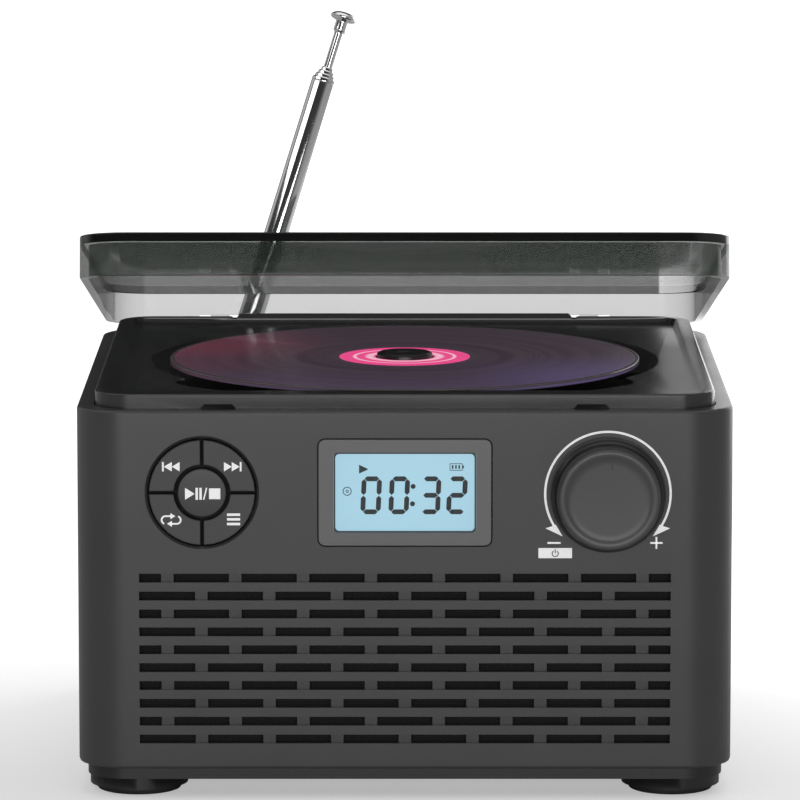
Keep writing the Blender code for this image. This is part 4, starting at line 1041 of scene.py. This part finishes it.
# %% Rubber feet
rubber = Finish("foot_rubber", (0.013, 0.013, 0.013), 0.8)
bloom = rubber.noise(0.0022, 4.0)
rubber.set("Base Color", rubber.blend(bloom, (0.010, 0.010, 0.010), (0.022, 0.022, 0.021)))
rubber.set("Roughness", bloom * 0.2 + 0.68)
rubber.relief(rubber.noise(0.0005), 0.00002, 0.5)
for end in ("front", "back"):
    for side in ("left", "right"):
        node = f"foot_pad_{end}_{side}"
        low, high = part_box(node)
        radius, centre = (high[0] - low[0]) / 2, middle(node)
        profile = eased_profile(
            [(0, high[2]), (radius, high[2]), (radius, low[2]), (0, low[2])], [0.0001, 0.0006], 5
        )
        turned(
            f"rubber_{end}_{side}", profile, (centre.x, centre.y, 0), (0, 0, 1), rubber, "case",
            replaces=(node,),
        )
print("four rubber feet,", round(radius * 2 / MM, 1), "mm across")

# %% [markdown]
# ## What stays in shadow
#
# The grille cloth, loudspeakers, boards and drive are seen in slivers at most, but each gets the
# finish of the real thing: a woven cloth, pressed paper, green solder mask over raised tracks,
# shrink wrap on the battery, coated glass on the pickup.

# %% Inner finishes
THREADS = 5200
cloth = Finish("grille_cloth", (0.012, 0.012, 0.012), 0.9)
cx, _, cz = cloth.axes(cloth.place())
threads = abs((cx * THREADS).sine()) * abs((cz * THREADS).sine())
cloth.set("Base Color", cloth.blend(threads, (0.004, 0.004, 0.004), (0.016, 0.016, 0.016)))
cloth.relief(threads, 0.00015, 0.8)
paper = flecked("pressed_paper", (0.018, 0.018, 0.018), (0.045, 0.044, 0.042), 0.0016, 0.85, 6.0)
paper.relief(paper.noise(0.0006), 0.00006, 0.6)
board = Finish("solder_mask", (0.02, 0.12, 0.06), 0.35)
bx, by, bz = board.axes(board.place())
one_way = abs(((bx + by * 0.5) * 2400).sine()) > 0.86
other_way = abs(((by + bz - bx * 0.5) * 1900).sine()) > 0.9
tracks = one_way + other_way
board.set("Base Color", board.blend(tracks * 0.7, (0.012, 0.085, 0.040), (0.05, 0.20, 0.09)))
board.relief(tracks, 0.00003, 0.4)
wrap = flecked("shrink_wrap", (0.02, 0.07, 0.24), (0.04, 0.13, 0.36), 0.02, 0.3, 3.0)
wrap.relief(wrap.noise(0.004), 0.0001, 0.4)
lens = flecked("coated_lens", (0.10, 0.06, 0.40), (0.36, 0.14, 0.44), 0.003, 0.03, 3.0)
print("inner finishes ready")

# %% [markdown]
# Each solid's record says what it is made of, in its material slot. The solids that keep their
# own mesh take the finish of that slot.

# %% Hand the finishes to the solids
BY_SLOT = {
    "body_plastic": case_grey, "deck_plastic": deck_black, "black_plastic": inner_black,
    "bezel_grey": bezel_grey, "white_plastic": natural_white, "knob_plastic": knob_grey,
    "rubber": rubber, "cloth": cloth, "paper_cone": paper, "steel": steel, "chrome": chrome,
    "board_green": board, "lens_glass": lens, "battery_wrap": wrap, "brass": brass,
}
slots = {entry["node"]: entry["material_slot"] for entry in frame["record"]["subparts"]}
given = 0
for node, solid in frame["nodes"].items():
    finish = BY_SLOT.get(slots[node])
    if finish and solid.data.materials:
        for index in range(len(solid.data.materials)):
            solid.data.materials[index] = finish.material
        given += 1
print("finishes handed to", given, "solids")

# %% [markdown]
# ## The studio
#
# A white floor runs back out of view. It glows for the camera alone, and more with distance, as
# a sweep that is lit from behind does. What the player mirrors is the floor's plain colour.

# %% Floor
REACH, POSTS = 9.0, 9
BLACK, WHITE = (0, 0, 0), (1, 1, 1)
floor_finish = Finish("studio_floor", (0.62, 0.62, 0.62), 0.7, Emission_Strength=1.0)
_, backwards, _ = floor_finish.axes(floor_finish.place())
to_camera = Amount(floor_finish, floor_finish.node("ShaderNodeLightPath").outputs["Is Camera Ray"])
shine = to_camera * (backwards.eased(-0.30, 0.40) * 0.66 + 0.26)
floor_finish.set("Emission Color", floor_finish.blend(shine, BLACK, WHITE))
line = np.linspace(-REACH, REACH, POSTS)
grid = np.stack(np.meshgrid(line, line, [0.0]), axis=-1)
floor_mesh = bpy.data.meshes.new("studio_floor")
squares = grid_faces(POSTS, POSTS, closed=False)
floor_mesh.from_pydata(grid.reshape(-1, 3).tolist(), [], squares.tolist())
floor_mesh.materials.append(floor_finish.material)
floor = bpy.data.objects.new("studio_floor", floor_mesh)
bpy.context.scene.collection.objects.link(floor)
floor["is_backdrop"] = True
print("floor", REACH * 2, "m wide")

# %% [markdown]
# The camera sees a white sky. The player sees a nearly dark room instead, whose ceiling, right
# side and far left corner are paler, so that glossy parts mirror something. The light path says
# which of the two a ray gets.

# %% Sky
world = bpy.data.worlds.new("studio_sky")
bpy.context.scene.world = world
world.use_nodes = True
world.node_tree.nodes.clear()
sky = Nodes(world.node_tree)
to_right, to_back, to_top = sky.axes(sky.node("ShaderNodeTexCoord").outputs["Generated"])
ceiling = to_top.eased(0.64, 0.93)
right_side = to_right.eased(0.30, 0.90) * 0.32
far_left = (0 - to_right).eased(0.35, 0.8) * to_back.eased(0.0, 0.5) * 0.5
room = ceiling + right_side + far_left + 0.04
seen = Amount(sky, sky.node("ShaderNodeLightPath").outputs["Is Camera Ray"])
strength = seen + (1 - seen) * room
background = sky.node("ShaderNodeBackground", None, {"Color": (1, 1, 1, 1), "Strength": strength})
sky.node("ShaderNodeOutputWorld", None, {"Surface": background.outputs[0]})
print("sky ready")

# %% [markdown]
# A wide, low soft box in front gives the front face its sheen and leaves the rounded corners
# dark, because they mirror the unlit sides. A box high on the left draws the bright line down
# the chrome. A card close behind on the right is what the right half of the deck mirrors.

# %% Lights


def soft_box(name, place, aim, size, radiance):
    """A rectangular light at place that faces aim: power is radiance times pi times area."""
    data = bpy.data.lights.new(name, "AREA")
    data.shape, data.size, data.size_y = "RECTANGLE", size[0], size[1]
    data.energy = radiance * math.pi * size[0] * size[1]
    made = bpy.data.objects.new(name, data)
    made.location = place
    made.rotation_euler = (Vector(aim) - Vector(place)).to_track_quat("-Z", "Y").to_euler()
    made.visible_camera = False
    bpy.context.scene.collection.objects.link(made)
    return made


soft_box("front_box", (0, -2.2, 0.34), (0, 0, 0.08), (1.6, 0.62), 5.0)
soft_box("mast_box", (-1.95, -0.80, 1.34), (0, 0, 0.1), (2.2, 0.45), 2.2)
soft_box("right_card", (0.31, 0.32, 0.17), (0.31, -1.0, 0.17), (0.46, 0.30), 1.9)

# %% [markdown]
# ## How much the dressing grew
#
# The dressed player is measured again, and its box is set against the solids' box, so that the
# growth can be printed. The dressed player must stay as large as its solids.

# %% Finish
low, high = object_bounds()
growth = [round((a - b) / MM, 2) for a, b in zip(high - low, cad_high - cad_low)]
print("visual box grew by", growth, "mm")
